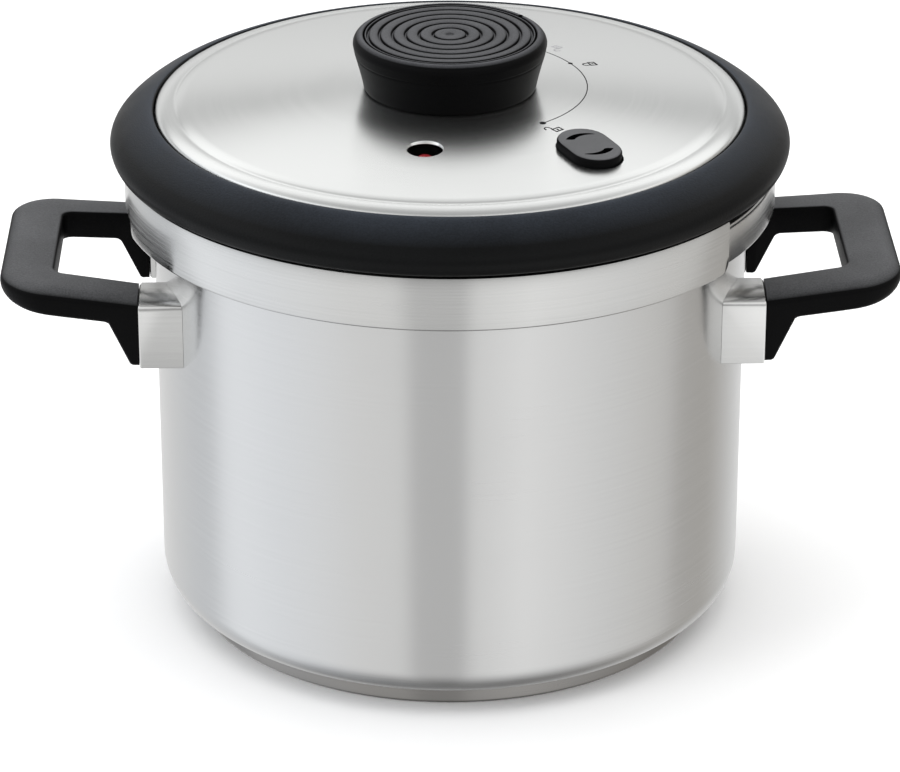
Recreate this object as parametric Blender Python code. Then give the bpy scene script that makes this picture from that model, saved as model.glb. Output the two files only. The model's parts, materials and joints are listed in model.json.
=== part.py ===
"""Pressure canner: a straight-sided pot with two loop handles and a clamp lid.

The knob on the lid turns a cam plate. Two spiral slots in the plate move two jaws in and out, and the
jaws close round the pot's collar. Units are metres in Blender; the sizes below are millimetres, and MM
turns them into metres. +Z is up, +X runs through the right handle, and the origin is the middle of the
face that the pot stands on.
"""

import math

import bmesh
import bpy
from mathutils import Vector

MM = 0.001

# Round pieces
FINE = 48
MEDIUM = 32
SMALL = 12
TINY = 8
GAP = 0.35

# Pot
WALL_R = 120.0
WALL = 1.1
CORNER_R = 14.0
BASE_R = 107.4
BASE_TOP = 6.9
FLOOR = 7.3
COLLAR_R = 131.3
COLLAR_LOW = 177.0
COLLAR_TOP = 191.5

# Handles
JOINT_X = 124.6
HANDLE_OUT = 180.9
HANDLE_HALF = 54.0
ARM_IN = 35.5
BAR_HALF = 49.0
HOLE_OUT = 159.2
HOLE_HALF = 31.0
HOLE_CORNER = 5.0
BAR_CORNER = 20.0
LEG_LOW = 124.2
LEG_FOOT = 4.6
LEG_BEND = 11.6
ARM_TOP = 153.6
ARM_THICK = 12.2
HANDLE_RISE = math.tan(math.radians(5.5))
SCREW_Y = 44.7
SCREW_Z = 134.0

# Rack
RACK_R = 104.0
RACK_TOP = 21.0
RACK_SHEET = 1.2

# Lid: the whole lid may sit at any angle on the round collar
LID_YAW = math.radians(-10.1)
PLATE_TOP = 183.2
PLATE_SHEET = 1.2
FLANGE_TOP = 193.1
RING_NOSE_R = 136.7
RING_NOSE_Z = 202.9
RING_LOW = 197.2
RING_SEAT = 210.4
COVER_R = 118.4
COVER_EDGE = 216.2
COVER_CREASE_R = 110.0
COVER_CREASE = 218.0
COVER_TOP = 222.9
COVER_FLAT_R = 48.0
COVER_SHEET = 1.0
STUD_R = 104.0
STUD_ANGLES = (-20.0, 20.0, 160.0, 200.0)

# Jaws and cam
JAW_HALF_ANGLE = 63.5
JAW_R = 133.0
JAW_SHEET = 1.0
JAW_LOW = 174.5
JAW_TOP = 196.5
JAW_INNER_R = 110.0
JAW_TRAVEL = 10.5
KNOB_SWEEP = 76.0
PIN_R = 3.0
PIN_AT = 40.0
ARM_LOW = 193.6
ARM_HIGH = 195.2
ARM_HALF = 11.0
CAM_R = 62.0
CAM_LOW = 196.2
CAM_HIGH = 198.2
GUIDE_AT = 89.0

# Knob
KNOB_R = 38.8
KNOB_FOOT_R = 34.7
KNOB_LOW = 223.4
KNOB_TOP = 245.4
KNOB_CAP_R = 34.3
NOTCH_ANGLE = 45.0
SHAFT_R = 5.0

# Pressure indicator, release button and pressure valve, in the lid's own frame
INDICATOR_AT = (66.6, -89.4)
INDICATOR_HOLE_R = 7.0
BUTTON_AT = (84.7, -41.4)
BUTTON_TURN = -51.4
BUTTON_LENGTH = 30.0
BUTTON_WIDTH = 20.8
BUTTON_TOP = 223.9
VALVE_AT = (84.0, 128.0)


# ---------------------------------------------------------------- materials


def material(name, colour, roughness, metallic=0.0):
    made = bpy.data.materials.new(name)
    made.use_nodes = True
    shader = made.node_tree.nodes["Principled BSDF"]
    shader.inputs["Base Color"].default_value = (*colour, 1.0)
    shader.inputs["Roughness"].default_value = roughness
    shader.inputs["Metallic"].default_value = metallic
    return made


def materials():
    return {
        "body_steel": material("body_steel", (0.62, 0.61, 0.59), 0.28, 1.0),
        "polished_steel": material("polished_steel", (0.66, 0.65, 0.64), 0.12, 1.0),
        "plain_steel": material("plain_steel", (0.52, 0.52, 0.52), 0.35, 1.0),
        "aluminium": material("aluminium", (0.75, 0.75, 0.76), 0.4, 1.0),
        "brass": material("brass", (0.70, 0.55, 0.25), 0.3, 1.0),
        "black_plastic": material("black_plastic", (0.018, 0.018, 0.02), 0.5),
        "soft_touch": material("soft_touch", (0.022, 0.022, 0.024), 0.6),
        "seal_rubber": material("seal_rubber", (0.35, 0.35, 0.36), 0.7),
        "red_plastic": material("red_plastic", (0.55, 0.03, 0.03), 0.4),
    }


# ---------------------------------------------------------------- shaping tools


def arc(centre, radius, start, end, steps):
    """Points on an arc, from the angle start to the angle end in degrees, both ends included."""
    angles = [math.radians(start + (end - start) * i / steps) for i in range(steps + 1)]
    return [(centre[0] + radius * math.cos(a), centre[1] + radius * math.sin(a)) for a in angles]


def polar(radius, angle):
    return radius * math.cos(math.radians(angle)), radius * math.sin(math.radians(angle))


def finished(bm, name, finish, parent=None, smooth=35.0):
    """Turns a closed bmesh in millimetres into an object in metres, with its faces outward."""
    bmesh.ops.remove_doubles(bm, verts=bm.verts, dist=0.001)
    bmesh.ops.scale(bm, vec=(MM, MM, MM), verts=bm.verts)
    bmesh.ops.recalc_face_normals(bm, faces=bm.faces)
    if bm.calc_volume(signed=True) < 0:
        bmesh.ops.reverse_faces(bm, faces=bm.faces)
    mesh = bpy.data.meshes.new(name)
    bm.to_mesh(mesh)
    bm.free()
    mesh.shade_smooth()
    mesh.set_sharp_from_angle(angle=math.radians(smooth))
    mesh.materials.append(finish)
    made = bpy.data.objects.new(name, mesh)
    bpy.context.scene.collection.objects.link(made)
    made.parent = parent
    return made


def turned(name, outline, finish, parent=None, segments=FINE):
    """A solid of revolution about Z. The outline is a list of (radius, height) points, closed by itself."""
    bm = bmesh.new()
    rings = []
    for radius, height in outline:
        count = 1 if radius == 0 else segments
        ring = [bm.verts.new((*polar(radius, 360.0 * i / segments), height)) for i in range(count)]
        rings.append(ring)
    for lower, upper in zip(rings, rings[1:] + rings[:1]):
        for i in range(segments):
            corners = [lower[i % len(lower)], lower[(i + 1) % len(lower)]]
            corners += [upper[(i + 1) % len(upper)], upper[i % len(upper)]]
            distinct = list(dict.fromkeys(corners))
            if len(distinct) > 2:
                bm.faces.new(distinct)
    return finished(bm, name, finish, parent)


def prism(name, outline, low, high, finish, parent=None, axis="Z"):
    """A closed outline drawn in one plane and extruded along the axis from low to high."""
    bm = bmesh.new()
    corner = {
        "X": lambda p: (low, p[0], p[1]),
        "Y": lambda p: (p[0], low, p[1]),
        "Z": lambda p: (p[0], p[1], low),
    }[axis]
    face = bm.faces.new([bm.verts.new(corner(p)) for p in outline])
    extruded = bmesh.ops.extrude_face_region(bm, geom=[face])
    new = [v for v in extruded["geom"] if isinstance(v, bmesh.types.BMVert)]
    along = Vector([high - low if axis == name_of else 0.0 for name_of in "XYZ"])
    bmesh.ops.translate(bm, vec=along, verts=new)
    return finished(bm, name, finish, parent, smooth=30.0)


def rounded(outline, radii, steps=4):
    """The outline with each corner replaced by an arc of its own radius. A radius of 0 keeps the corner."""
    points = []
    for i, here in enumerate(outline):
        before, after = Vector(outline[i - 1]), Vector(outline[(i + 1) % len(outline)])
        corner = Vector(here)
        if radii[i] == 0:
            points.append(tuple(corner))
            continue
        one, two = (before - corner).normalized(), (after - corner).normalized()
        half = one.angle(two) / 2
        middle = corner + (one + two).normalized() * (radii[i] / math.sin(half))
        first = corner + one * (radii[i] / math.tan(half)) - middle
        last = corner + two * (radii[i] / math.tan(half)) - middle
        for k in range(steps + 1):
            share = k / steps
            turn = first.slerp(last, share)
            points.append(tuple(middle + turn.normalized() * radii[i]))
    return points


def stadium(length, width, steps=6):
    """A slot-shaped outline along X, centred on the origin."""
    radius, reach = width / 2, (length - width) / 2
    return arc((reach, 0), radius, -90, 90, steps) + arc((-reach, 0), radius, 90, 270, steps)


def cut(target, cutter, operation="DIFFERENCE"):
    """Takes the cutter out of the target, and keeps the cutter as a hidden guide."""
    cutter.hide_render = True
    cutter.display_type = "WIRE"
    cutter.parent = target.parent
    added = target.modifiers.new(cutter.name, "BOOLEAN")
    added.operation = operation
    added.object = cutter


def drill(target, name, radius, low, high, place, finish, segments=SMALL):
    """A round hole along Z, with its middle at place."""
    outline = [(0, high), (radius, high), (radius, low), (0, low)]
    tool = turned("cut_" + name, outline, finish, target.parent, segments)
    tool.location = Vector((*place, 0)) * MM
    tool.rotation_euler.z = math.radians(4.0)
    cut(target, tool)


def screw(name, place, finish, parent, shank_r, head_r, head_high, head_low, tip):
    """A screw along Z with a plain shank and a low domed head. Heights are along its own axis."""
    dome = head_high + (head_high - head_low) * 0.25
    outline = [(0, dome), (head_r * 0.6, dome), (head_r, head_high), (head_r, head_low)]
    outline += [(shank_r, head_low), (shank_r, tip + shank_r), (0, tip)]
    made = turned(name, outline, finish, parent, TINY)
    made.location = Vector((*place, 0)) * MM
    return made


def hex_nut(name, place, bore_r, corner_r, top, foot, finish, parent):
    """A six-sided nut along Z with a plain round bore."""
    outline = [polar(corner_r, 60.0 * i) for i in range(6)]
    made = prism(name, outline, foot, top, finish, parent)
    made.location = Vector((*place, 0)) * MM
    drill(made, name + "_bore", bore_r, foot - 1, top + 1, place, finish)


def coil(name, radius, wire, low, high, turns, finish, parent):
    """A compression spring along Z, between low and high, with a round wire."""
    sides, steps = 4, 9
    bm = bmesh.new()
    rings = []
    count = turns * steps
    climb = high - low - 2 * wire
    for i in range(count + 1):
        angle = 2 * math.pi * i / steps
        out = Vector((math.cos(angle), math.sin(angle), 0))
        centre = out * radius + Vector((0, 0, low + wire + climb * i / count))
        around = [2 * math.pi * k / sides for k in range(sides)]
        ring = [centre + out * wire * math.cos(a) + Vector((0, 0, wire * math.sin(a))) for a in around]
        rings.append([bm.verts.new(p) for p in ring])
    for one, two in zip(rings, rings[1:]):
        for k in range(sides):
            bm.faces.new([one[k], one[(k + 1) % sides], two[(k + 1) % sides], two[k]])
    bm.faces.new(rings[0])
    bm.faces.new(rings[-1])
    return finished(bm, name, finish, parent, smooth=80.0)


def sector(name, outline, half_angle, middle_angle, finish, parent, steps):
    """A solid of revolution that covers only the angles within half_angle of middle_angle."""
    bm = bmesh.new()
    rings = []
    for i in range(steps + 1):
        angle = middle_angle - half_angle + 2 * half_angle * i / steps
        rings.append([bm.verts.new((*polar(radius, angle), height)) for radius, height in outline])
    for one, two in zip(rings, rings[1:]):
        for k in range(len(outline)):
            after = (k + 1) % len(outline)
            bm.faces.new([one[k], one[after], two[after], two[k]])
    bm.faces.new(rings[0])
    bm.faces.new(rings[-1])
    return finished(bm, name, finish, parent)


def axis_empty(name, place=(0, 0, 0), parent=None, yaw=0.0):
    """An empty on a joint's axis. Its children are drawn in its frame."""
    made = bpy.data.objects.new(name, None)
    bpy.context.scene.collection.objects.link(made)
    made.location = Vector(place) * MM
    made.rotation_euler.z = yaw
    made.parent = parent
    return made


# ---------------------------------------------------------------- pot


def pot_body(finish):
    """The drawn steel shell: flat floor, round corner, straight wall and a stepped-out collar."""
    outer = [(0, FLOOR)]
    outer += arc((WALL_R - CORNER_R, FLOOR + CORNER_R), CORNER_R, -90, 0, 4)
    outer += [(WALL_R, 171.0)]
    outer += arc((WALL_R + 6.0, COLLAR_LOW - 6.0), 6.0, 135, 90, 1)
    outer += [(COLLAR_R - 1.0, COLLAR_LOW), (COLLAR_R, COLLAR_LOW + 1.0), (COLLAR_R, COLLAR_TOP)]
    inner_r = WALL_R - WALL
    inner = [(COLLAR_R - WALL, COLLAR_TOP), (COLLAR_R - WALL, COLLAR_LOW + WALL)]
    inner += [(WALL_R + 5.0, COLLAR_LOW + WALL), (WALL_R + 0.6, COLLAR_LOW - 1.0), (inner_r, 171.5)]
    inner += arc((WALL_R - CORNER_R, FLOOR + CORNER_R), CORNER_R - WALL, 0, -90, 4)
    inner += [(0, FLOOR + WALL)]
    return turned("pot_body", outer + inner, finish)


def base(cap_finish, core_finish):
    """The sandwich base: an aluminium disc that spreads the heat, in a shallow steel cup."""
    sheet = 0.8
    cap = [(0, 0), (BASE_R - 1.6, 0), (BASE_R, 1.6), (BASE_R, BASE_TOP)]
    cap += [(BASE_R - sheet, BASE_TOP), (BASE_R - sheet, 1.9), (BASE_R - 2.2, sheet), (0, sheet)]
    turned("base_cap", cap, cap_finish)
    top = FLOOR - GAP
    core = [(0, sheet + GAP), (BASE_R - 3.2, sheet + GAP), (BASE_R - sheet - GAP, 2.6)]
    core += [(BASE_R - sheet - GAP, top), (0, top)]
    turned("base_core", core, core_finish)


def rack(finish):
    """The perforated rack that keeps jars off the floor: a dished disc standing on its turned-down rim."""
    lift = axis_empty("rack_lift")
    foot = FLOOR + WALL + GAP
    outline = [(0, RACK_TOP), (RACK_R - 3.0, RACK_TOP), (RACK_R, RACK_TOP - 3.0), (RACK_R, foot)]
    outline += [(RACK_R - RACK_SHEET, foot), (RACK_R - RACK_SHEET, RACK_TOP - 3.4)]
    outline += [(RACK_R - 3.4, RACK_TOP - RACK_SHEET), (0, RACK_TOP - RACK_SHEET)]
    plate = turned("jar_rack", outline, finish, lift)
    places = [(0.0, 0.0)]
    places += [polar(36.0, 90.0 * i) for i in range(4)]
    places += [polar(74.0, 45.0 * i + 22.5) for i in range(8)]
    for number, place in enumerate(places):
        drill(plate, f"rack_hole_{number}", 8.0, RACK_TOP - 3.0, RACK_TOP + 1.0, place, finish, 10)


# ---------------------------------------------------------------- handles


def handle_frame(side):
    """The frame of one handle: its X axis points out of the pot."""
    return axis_empty(("right" if side > 0 else "left") + "_handle", yaw=0.0 if side > 0 else math.pi)


def arm_outline(low):
    """The Y and Z outline of an arm or a bracket at the joint: upright face, wide shallow rounding on top."""
    outer, inner = HANDLE_HALF, ARM_IN
    top = [(outer, ARM_TOP - 4.4), (outer - 1.0, ARM_TOP - 2.7), (outer - 3.6, ARM_TOP - 1.1)]
    top += [(outer - 7.5, ARM_TOP - 0.2), (outer - 11.0, ARM_TOP), (inner, ARM_TOP)]
    return [(inner, low), (outer, low)] + top


def bracket(name, frame, end, finish):
    """A steel block on the pot's wall, which one arm of the handle is screwed to."""
    outline = [(end * y, z) for y, z in arm_outline(LEG_LOW)]
    made = prism(name, outline, WALL_R * 0.85, JOINT_X, finish, frame, axis="X")
    wall = [(0, 170.0), (WALL_R + GAP, 170.0), (WALL_R + GAP, 100.0), (0, 100.0)]
    cut(made, turned("cut_wall_" + name, wall, finish, frame, FINE))
    bore = turned("cut_thread_" + name, [(0, 9.0), (2.3, 9.0), (2.3, -1.0), (0, -1.0)], finish, frame, TINY)
    bore.location = Vector((JOINT_X, end * SCREW_Y, SCREW_Z)) * MM
    bore.rotation_euler.y = math.radians(-90)
    cut(made, bore)
    return made


def grip_stations():
    """Pairs of inner and outer points along half of the loop, from an arm's pot end to the bar's middle."""
    start = JOINT_X + GAP
    arm_end = HOLE_OUT - HOLE_CORNER
    inner_slope = (ARM_IN - HOLE_HALF) / (HOLE_OUT - start)
    outer_slope = (HANDLE_HALF - BAR_HALF) / (HANDLE_OUT - start)
    stations = []
    reach = arm_end - start
    for along in (0.0, 2.4, LEG_FOOT, 6.9, 9.2, LEG_BEND, LEG_BEND + 3.0, reach):
        inner = (start + along, ARM_IN - inner_slope * along)
        share = (along / reach) ** 2
        x = start + along + share * (HANDLE_OUT - BAR_CORNER - arm_end)
        stations.append((inner, (x, HANDLE_HALF - outer_slope * (x - start))))
    steps = 5
    turns = [90.0 * i / steps for i in range(1, steps + 1)]
    inner_y = ARM_IN - inner_slope * reach
    outer_y = stations[-1][1][1]
    for turn in turns:
        sine, cosine = math.sin(math.radians(turn)), math.cos(math.radians(turn))
        inner = (arm_end + HOLE_CORNER * sine, inner_y - HOLE_CORNER * (1 - cosine))
        outer = (HANDLE_OUT - BAR_CORNER * (1 - sine), outer_y - BAR_CORNER * (1 - cosine))
        stations.append((inner, outer))
    stations.append(((HOLE_OUT, 0.0), (HANDLE_OUT, 0.0)))
    return stations


def underside(x):
    """Height of the loop's lower face: the tapered leg near the pot, then the underside of the rising arm."""
    along = x - JOINT_X - GAP
    arm = ARM_TOP - ARM_THICK + HANDLE_RISE * along
    bend = ARM_TOP - ARM_THICK + HANDLE_RISE * LEG_BEND
    if along <= LEG_FOOT - 1.6:
        return LEG_LOW
    if along >= LEG_BEND:
        return arm
    share = (along - LEG_FOOT + 1.6) / (LEG_BEND - LEG_FOOT + 1.6)
    return LEG_LOW + (bend - LEG_LOW) * share


def grip_ring(inner, outer, end):
    """One cross-section of the loop: flat top, wide shallow outer rounding, and a rounded underside."""
    one, two = Vector(inner), Vector(outer)
    width = (two - one).length
    across = (two - one) / width
    low = 3.4 + 3.8 * max(0.0, min(1.0, (outer[0] - HOLE_OUT) / BAR_CORNER))
    crown = [(0.0, 1.0), (1.0, 0.0), (width - 11.0, 0.0), (width - 7.5, 0.2), (width - 3.6, 1.1)]
    crown += [(width - 1.0, 2.7), (width, 4.4)]
    sole = [(width, low), (width - 1.1, low * 0.42), (width - low * 0.9, 0.0), (2.2, 0.0), (0.0, 2.0)]
    points = []
    for reach, drop in crown:
        place = one + across * reach
        top = ARM_TOP + HANDLE_RISE * (place.x - JOINT_X - GAP)
        points.append((place.x, end * place.y, top - drop))
    for reach, lift in sole:
        place = one + across * reach
        points.append((place.x, end * place.y, underside(place.x) + lift))
    return points


def grip(name, frame, finish):
    """One plastic handle loop with both legs, and a stepped hole in each leg for its screw."""
    stations = grip_stations()
    rings = [grip_ring(inner, outer, -1) for inner, outer in stations]
    rings += [grip_ring(inner, outer, 1) for inner, outer in reversed(stations[:-1])]
    bm = bmesh.new()
    made_rings = [[bm.verts.new(p) for p in ring] for ring in rings]
    count = len(rings[0])
    for one, two in zip(made_rings, made_rings[1:]):
        for k in range(count):
            after = (k + 1) % count
            bm.faces.new([one[k], one[after], two[after], two[k]])
    bm.faces.new(made_rings[0])
    bm.faces.new(made_rings[-1])
    made = finished(bm, name, finish, frame, smooth=40.0)
    for end in (-1, 1):
        stepped = [(0, 20.0), (3.7, 20.0), (3.7, 3.2), (2.3, 3.2), (2.3, -2.0), (0, -2.0)]
        bore = turned(f"cut_screw_{name}_{end + 1}", stepped, finish, frame, TINY)
        bore.location = Vector((JOINT_X, end * SCREW_Y, SCREW_Z)) * MM
        bore.rotation_euler.y = math.radians(90)
        cut(made, bore)


def handle_screw(name, frame, end, finish):
    """The screw that holds one leg of the loop to its bracket, set deep in the leg."""
    made = screw(name, (0, 0), finish, frame, 1.95, 3.3, 5.2, 3.2 + GAP, -7.5)
    made.location = Vector((JOINT_X, end * SCREW_Y, SCREW_Z)) * MM
    made.rotation_euler.y = math.radians(90)


def handles(finishes):
    for side, word in ((1, "right"), (-1, "left")):
        frame = handle_frame(side)
        grip(word + "_grip", frame, finishes["black_plastic"])
        for end in (-1, 1):
            place = "front" if end * side < 0 else "back"
            bracket(f"{word}_{place}_bracket", frame, end, finishes["body_steel"])
            handle_screw(f"{word}_{place}_screw", frame, end, finishes["plain_steel"])


# ---------------------------------------------------------------- lid shells


def cover_height(radius):
    """Height of the steel cover's upper face: a shallow dome inside its crease."""
    if radius <= COVER_FLAT_R:
        return COVER_TOP
    share = (radius - COVER_FLAT_R) / (COVER_CREASE_R - COVER_FLAT_R)
    return COVER_TOP - (COVER_TOP - COVER_CREASE) * share**1.35


def lid_plate(frame, finish):
    """The inner pressing that closes the pot: a dish whose flange rests on the collar."""
    wall_r = 121.2
    under = PLATE_TOP - PLATE_SHEET
    flange_low = FLANGE_TOP - PLATE_SHEET
    outline = [(0, under), (wall_r - 3.0, under), (wall_r - 0.8, under + 0.8), (wall_r, under + 3.0)]
    outline += [(wall_r, flange_low), (COLLAR_R - 0.4, flange_low), (COLLAR_R - 0.4, FLANGE_TOP)]
    outline += [(wall_r - PLATE_SHEET, FLANGE_TOP), (wall_r - PLATE_SHEET, under + 3.2)]
    outline += [(wall_r - 3.2, PLATE_TOP), (0, PLATE_TOP)]
    made = turned("lid_plate", outline, finish, frame)
    low, high = under - 1.0, PLATE_TOP + 1.0
    drill(made, "indicator_seat", 5.4, low, high, polar(*INDICATOR_AT), finish)
    drill(made, "release_seat", 6.4, low, high, polar(*BUTTON_AT), finish)
    drill(made, "valve_seat", 7.4, low, high, polar(*VALVE_AT), finish)
    return made


def gasket(frame, finish):
    """The lip seal between the lid's dish and the collar. Its groove opens inward, so pressure spreads it."""
    low, high = COLLAR_LOW + WALL + GAP, FLANGE_TOP - PLATE_SHEET - GAP
    outer, inner = COLLAR_R - WALL - GAP, 121.2 + GAP
    outline = [(inner, low), (outer - 0.8, low), (outer, low + 0.8), (outer, high - 0.6)]
    outline += [(outer - 0.6, high), (inner, high), (inner, high - 3.0), (outer - 3.0, high - 3.4)]
    outline += [(outer - 3.0, low + 2.4), (inner, low + 1.6)]
    turned("gasket", outline, finish, frame)


def lid_ring(frame, finish):
    """The black ring round the cover. Its inner flange is screwed to the studs."""
    outline = [(COVER_R + GAP + 0.1, COVER_EDGE - 0.2), (125.0, 214.0), (132.0, 209.3)]
    outline += [(135.6, 205.8), (RING_NOSE_R, RING_NOSE_Z), (135.6, 199.2)]
    outline += [(132.3, RING_LOW), (127.5, RING_LOW), (121.5, RING_SEAT - 3.0)]
    outline += [(97.0, RING_SEAT - 3.0), (97.0, RING_SEAT), (COVER_R + GAP, RING_SEAT)]
    made = turned("lid_ring", outline, finish, frame)
    for number, angle in enumerate(STUD_ANGLES):
        drill(made, f"ring_{number}", 2.4, RING_SEAT - 5, RING_SEAT + 2, polar(STUD_R, angle), finish, TINY)


def lid_cover(frame, finish):
    """The domed steel cover with a turned-down edge, and openings for shaft, indicator and button."""
    radii = [COVER_CREASE_R, 92.0, 72.0, COVER_FLAT_R]
    upper = [(radius, cover_height(radius)) for radius in radii]
    lower = [(radius, height - COVER_SHEET) for radius, height in reversed(upper)]
    shaft_hole = 9.0
    edge_low = RING_SEAT + GAP
    outline = [(COVER_R, edge_low), (COVER_R, COVER_EDGE - 0.8), (COVER_R - 0.8, COVER_EDGE)]
    outline += [(COVER_CREASE_R + 1.2, COVER_CREASE - 0.7)] + upper
    outline += [(shaft_hole, COVER_TOP), (shaft_hole, COVER_TOP - COVER_SHEET)] + lower
    outline += [(COVER_CREASE_R + 1.2, COVER_CREASE - 0.7 - COVER_SHEET)]
    outline += [(COVER_R - 1.2, COVER_EDGE - 1.1), (COVER_R - COVER_SHEET, edge_low)]
    made = turned("lid_cover", outline, finish, frame)
    low, high = COVER_CREASE - 5.0, COVER_TOP + 5.0
    drill(made, "indicator_window", INDICATOR_HOLE_R, low, high, polar(*INDICATOR_AT), finish, 20)
    window = stadium(BUTTON_LENGTH + 1.0, BUTTON_WIDTH + 1.0)
    tool = prism("cut_button_window", window, low, high, finish, frame)
    tool.location = Vector((*polar(*BUTTON_AT), 0)) * MM
    tool.rotation_euler.z = math.radians(BUTTON_TURN)
    cut(made, tool)


def studs(frame, finishes):
    """Four studs on the lid plate, and the screws that hold the ring down on them."""
    top = RING_SEAT - 3.0 - GAP
    low = PLATE_TOP + GAP
    for number, angle in enumerate(STUD_ANGLES, 1):
        place = polar(STUD_R, angle)
        outline = [(0, low), (3.6, low), (3.6, top), (1.9, top), (1.9, top - 8.0), (0, top - 8.0)]
        made = turned(f"ring_stud_{number}", outline, finishes["plain_steel"], frame, TINY)
        made.location = Vector((*place, 0)) * MM
        seat = RING_SEAT + GAP
        steel = finishes["plain_steel"]
        screw(f"ring_screw_{number}", place, steel, frame, 1.55, 3.4, seat + 1.7, seat, top - 7)


def arm_guides(frame, finish):
    """Two bridges on the lid plate that the slider arms run through."""
    low, step = PLATE_TOP + GAP, ARM_HALF + 0.6
    foot = step + 5.0
    sheet = 1.2
    roof = ARM_HIGH + 0.6
    outline = [(-foot, low), (-step, low), (-step, roof), (step, roof), (step, low), (foot, low)]
    outline += [(foot, low + sheet), (step + sheet, low + sheet), (step + sheet, roof + sheet)]
    outline += [(-step - sheet, roof + sheet), (-step - sheet, low + sheet), (-foot, low + sheet)]
    for name, sign in (("front_arm_guide", -1), ("back_arm_guide", 1)):
        ends = sorted((sign * (GUIDE_AT - 6.0), sign * (GUIDE_AT + 6.0)))
        prism(name, outline, ends[0], ends[1], finish, frame, axis="Y")


# ---------------------------------------------------------------- jaws, arms and cam


def jaw(name, frame, middle, finish):
    """One clamp jaw: a steel band with an inward flange on top and a hemmed lower edge."""
    inner = JAW_R - JAW_SHEET
    hem = COLLAR_R + GAP + 0.1
    outline = [(hem, JAW_LOW), (JAW_R - 0.4, JAW_LOW), (JAW_R, JAW_LOW + 0.5), (JAW_R, JAW_TOP - 1.0)]
    outline += [(JAW_R - 1.0, JAW_TOP), (JAW_INNER_R, JAW_TOP), (JAW_INNER_R, JAW_TOP - JAW_SHEET)]
    outline += [(inner, JAW_TOP - JAW_SHEET), (inner, JAW_LOW + 1.4), (hem, JAW_LOW + 1.0)]
    return sector(name, outline, JAW_HALF_ANGLE, middle, finish, frame, 17)


def slider_arm(name, frame, sign, finish):
    """The strip that carries a jaw. Its window lets the indicator pin through at both ends of the travel."""
    inner, outer = PIN_AT - 9.0, JAW_R - 9.0
    outline = rounded(
        [(-ARM_HALF, inner), (ARM_HALF, inner), (ARM_HALF, outer), (-ARM_HALF, outer)], [4.0] * 4, 3
    )
    made = prism(name, [(x, sign * y) for x, y in outline], ARM_LOW, ARM_HIGH, finish, frame)
    drill(made, name + "_pin", PIN_R + GAP, ARM_LOW - 1, ARM_HIGH + 1, (0, sign * PIN_AT), finish)
    reach = JAW_TRAVEL + 2 * 4.6
    window = prism("cut_window_" + name, stadium(reach, 9.2), ARM_LOW - 1, ARM_HIGH + 1, finish, frame)
    window.location = Vector((0, sign * (INDICATOR_AT[0] - JAW_TRAVEL / 2), 0)) * MM
    window.rotation_euler.z = math.radians(90)
    cut(made, window)


def follower_pin(name, frame, sign, finish):
    """The pin on a slider arm that runs in a slot of the cam plate."""
    low = ARM_LOW - GAP
    outline = [(0, low - 1.8), (PIN_R + 1.5, low - 1.8), (PIN_R + 1.5, low), (PIN_R, low)]
    outline += [(PIN_R, CAM_HIGH + 0.8), (0, CAM_HIGH + 0.8)]
    made = turned(name, outline, finish, frame, SMALL)
    made.location = Vector((0, sign * PIN_AT, 0)) * MM


def spiral_slot(start_angle):
    """Outline of a cam slot: its middle line moves outward evenly as the angle grows."""
    half, steps, spare = PIN_R + GAP, 12, 1.5
    middle = []
    for i in range(steps + 1):
        angle = -spare + (KNOB_SWEEP + 2 * spare) * i / steps
        radius = PIN_AT + JAW_TRAVEL * angle / KNOB_SWEEP
        middle.append(Vector(polar(radius, start_angle + angle)))
    left, right = [], []
    for i, point in enumerate(middle):
        ahead = (middle[min(i + 1, steps)] - middle[max(i - 1, 0)]).normalized()
        side = Vector((-ahead.y, ahead.x)) * half
        left.append(tuple(point + side))
        right.append(tuple(point - side))
    first = math.degrees(math.atan2(*(middle[0] - middle[1]).yx))
    last = math.degrees(math.atan2(*(middle[-1] - middle[-2]).yx))
    start_cap = arc(middle[0], half, first - 60, first + 60, 3)
    end_cap = arc(middle[-1], half, last - 60, last + 60, 3)
    return left[::-1] + start_cap + right + end_cap


def cam_plate(frame, finish):
    """The disc under the knob. As it turns, its spiral slots push both follower pins out or in."""
    outline = [(SHAFT_R + GAP, CAM_LOW), (CAM_R, CAM_LOW), (CAM_R, CAM_HIGH), (SHAFT_R + GAP, CAM_HIGH)]
    made = turned("cam_plate", outline, finish, frame, MEDIUM)
    for name, angle in (("front", -90.0), ("back", 90.0)):
        slot = prism("cut_slot_" + name, spiral_slot(angle), CAM_LOW - 1, CAM_HIGH + 1, finish, frame)
        cut(made, slot)


def jaws(frame, finishes):
    """Both jaws, each with its slider arm and its follower pin."""
    for word, sign, middle in (("front", -1, -90.0), ("back", 1, 90.0)):
        slide = axis_empty(word + "_jaw_slide", parent=frame)
        jaw(word + "_jaw", slide, middle, finishes["body_steel"])
        slider_arm(word + "_slider_arm", slide, sign, finishes["plain_steel"])
        follower_pin(word + "_follower_pin", slide, sign, finishes["plain_steel"])


# ---------------------------------------------------------------- knob


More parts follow.
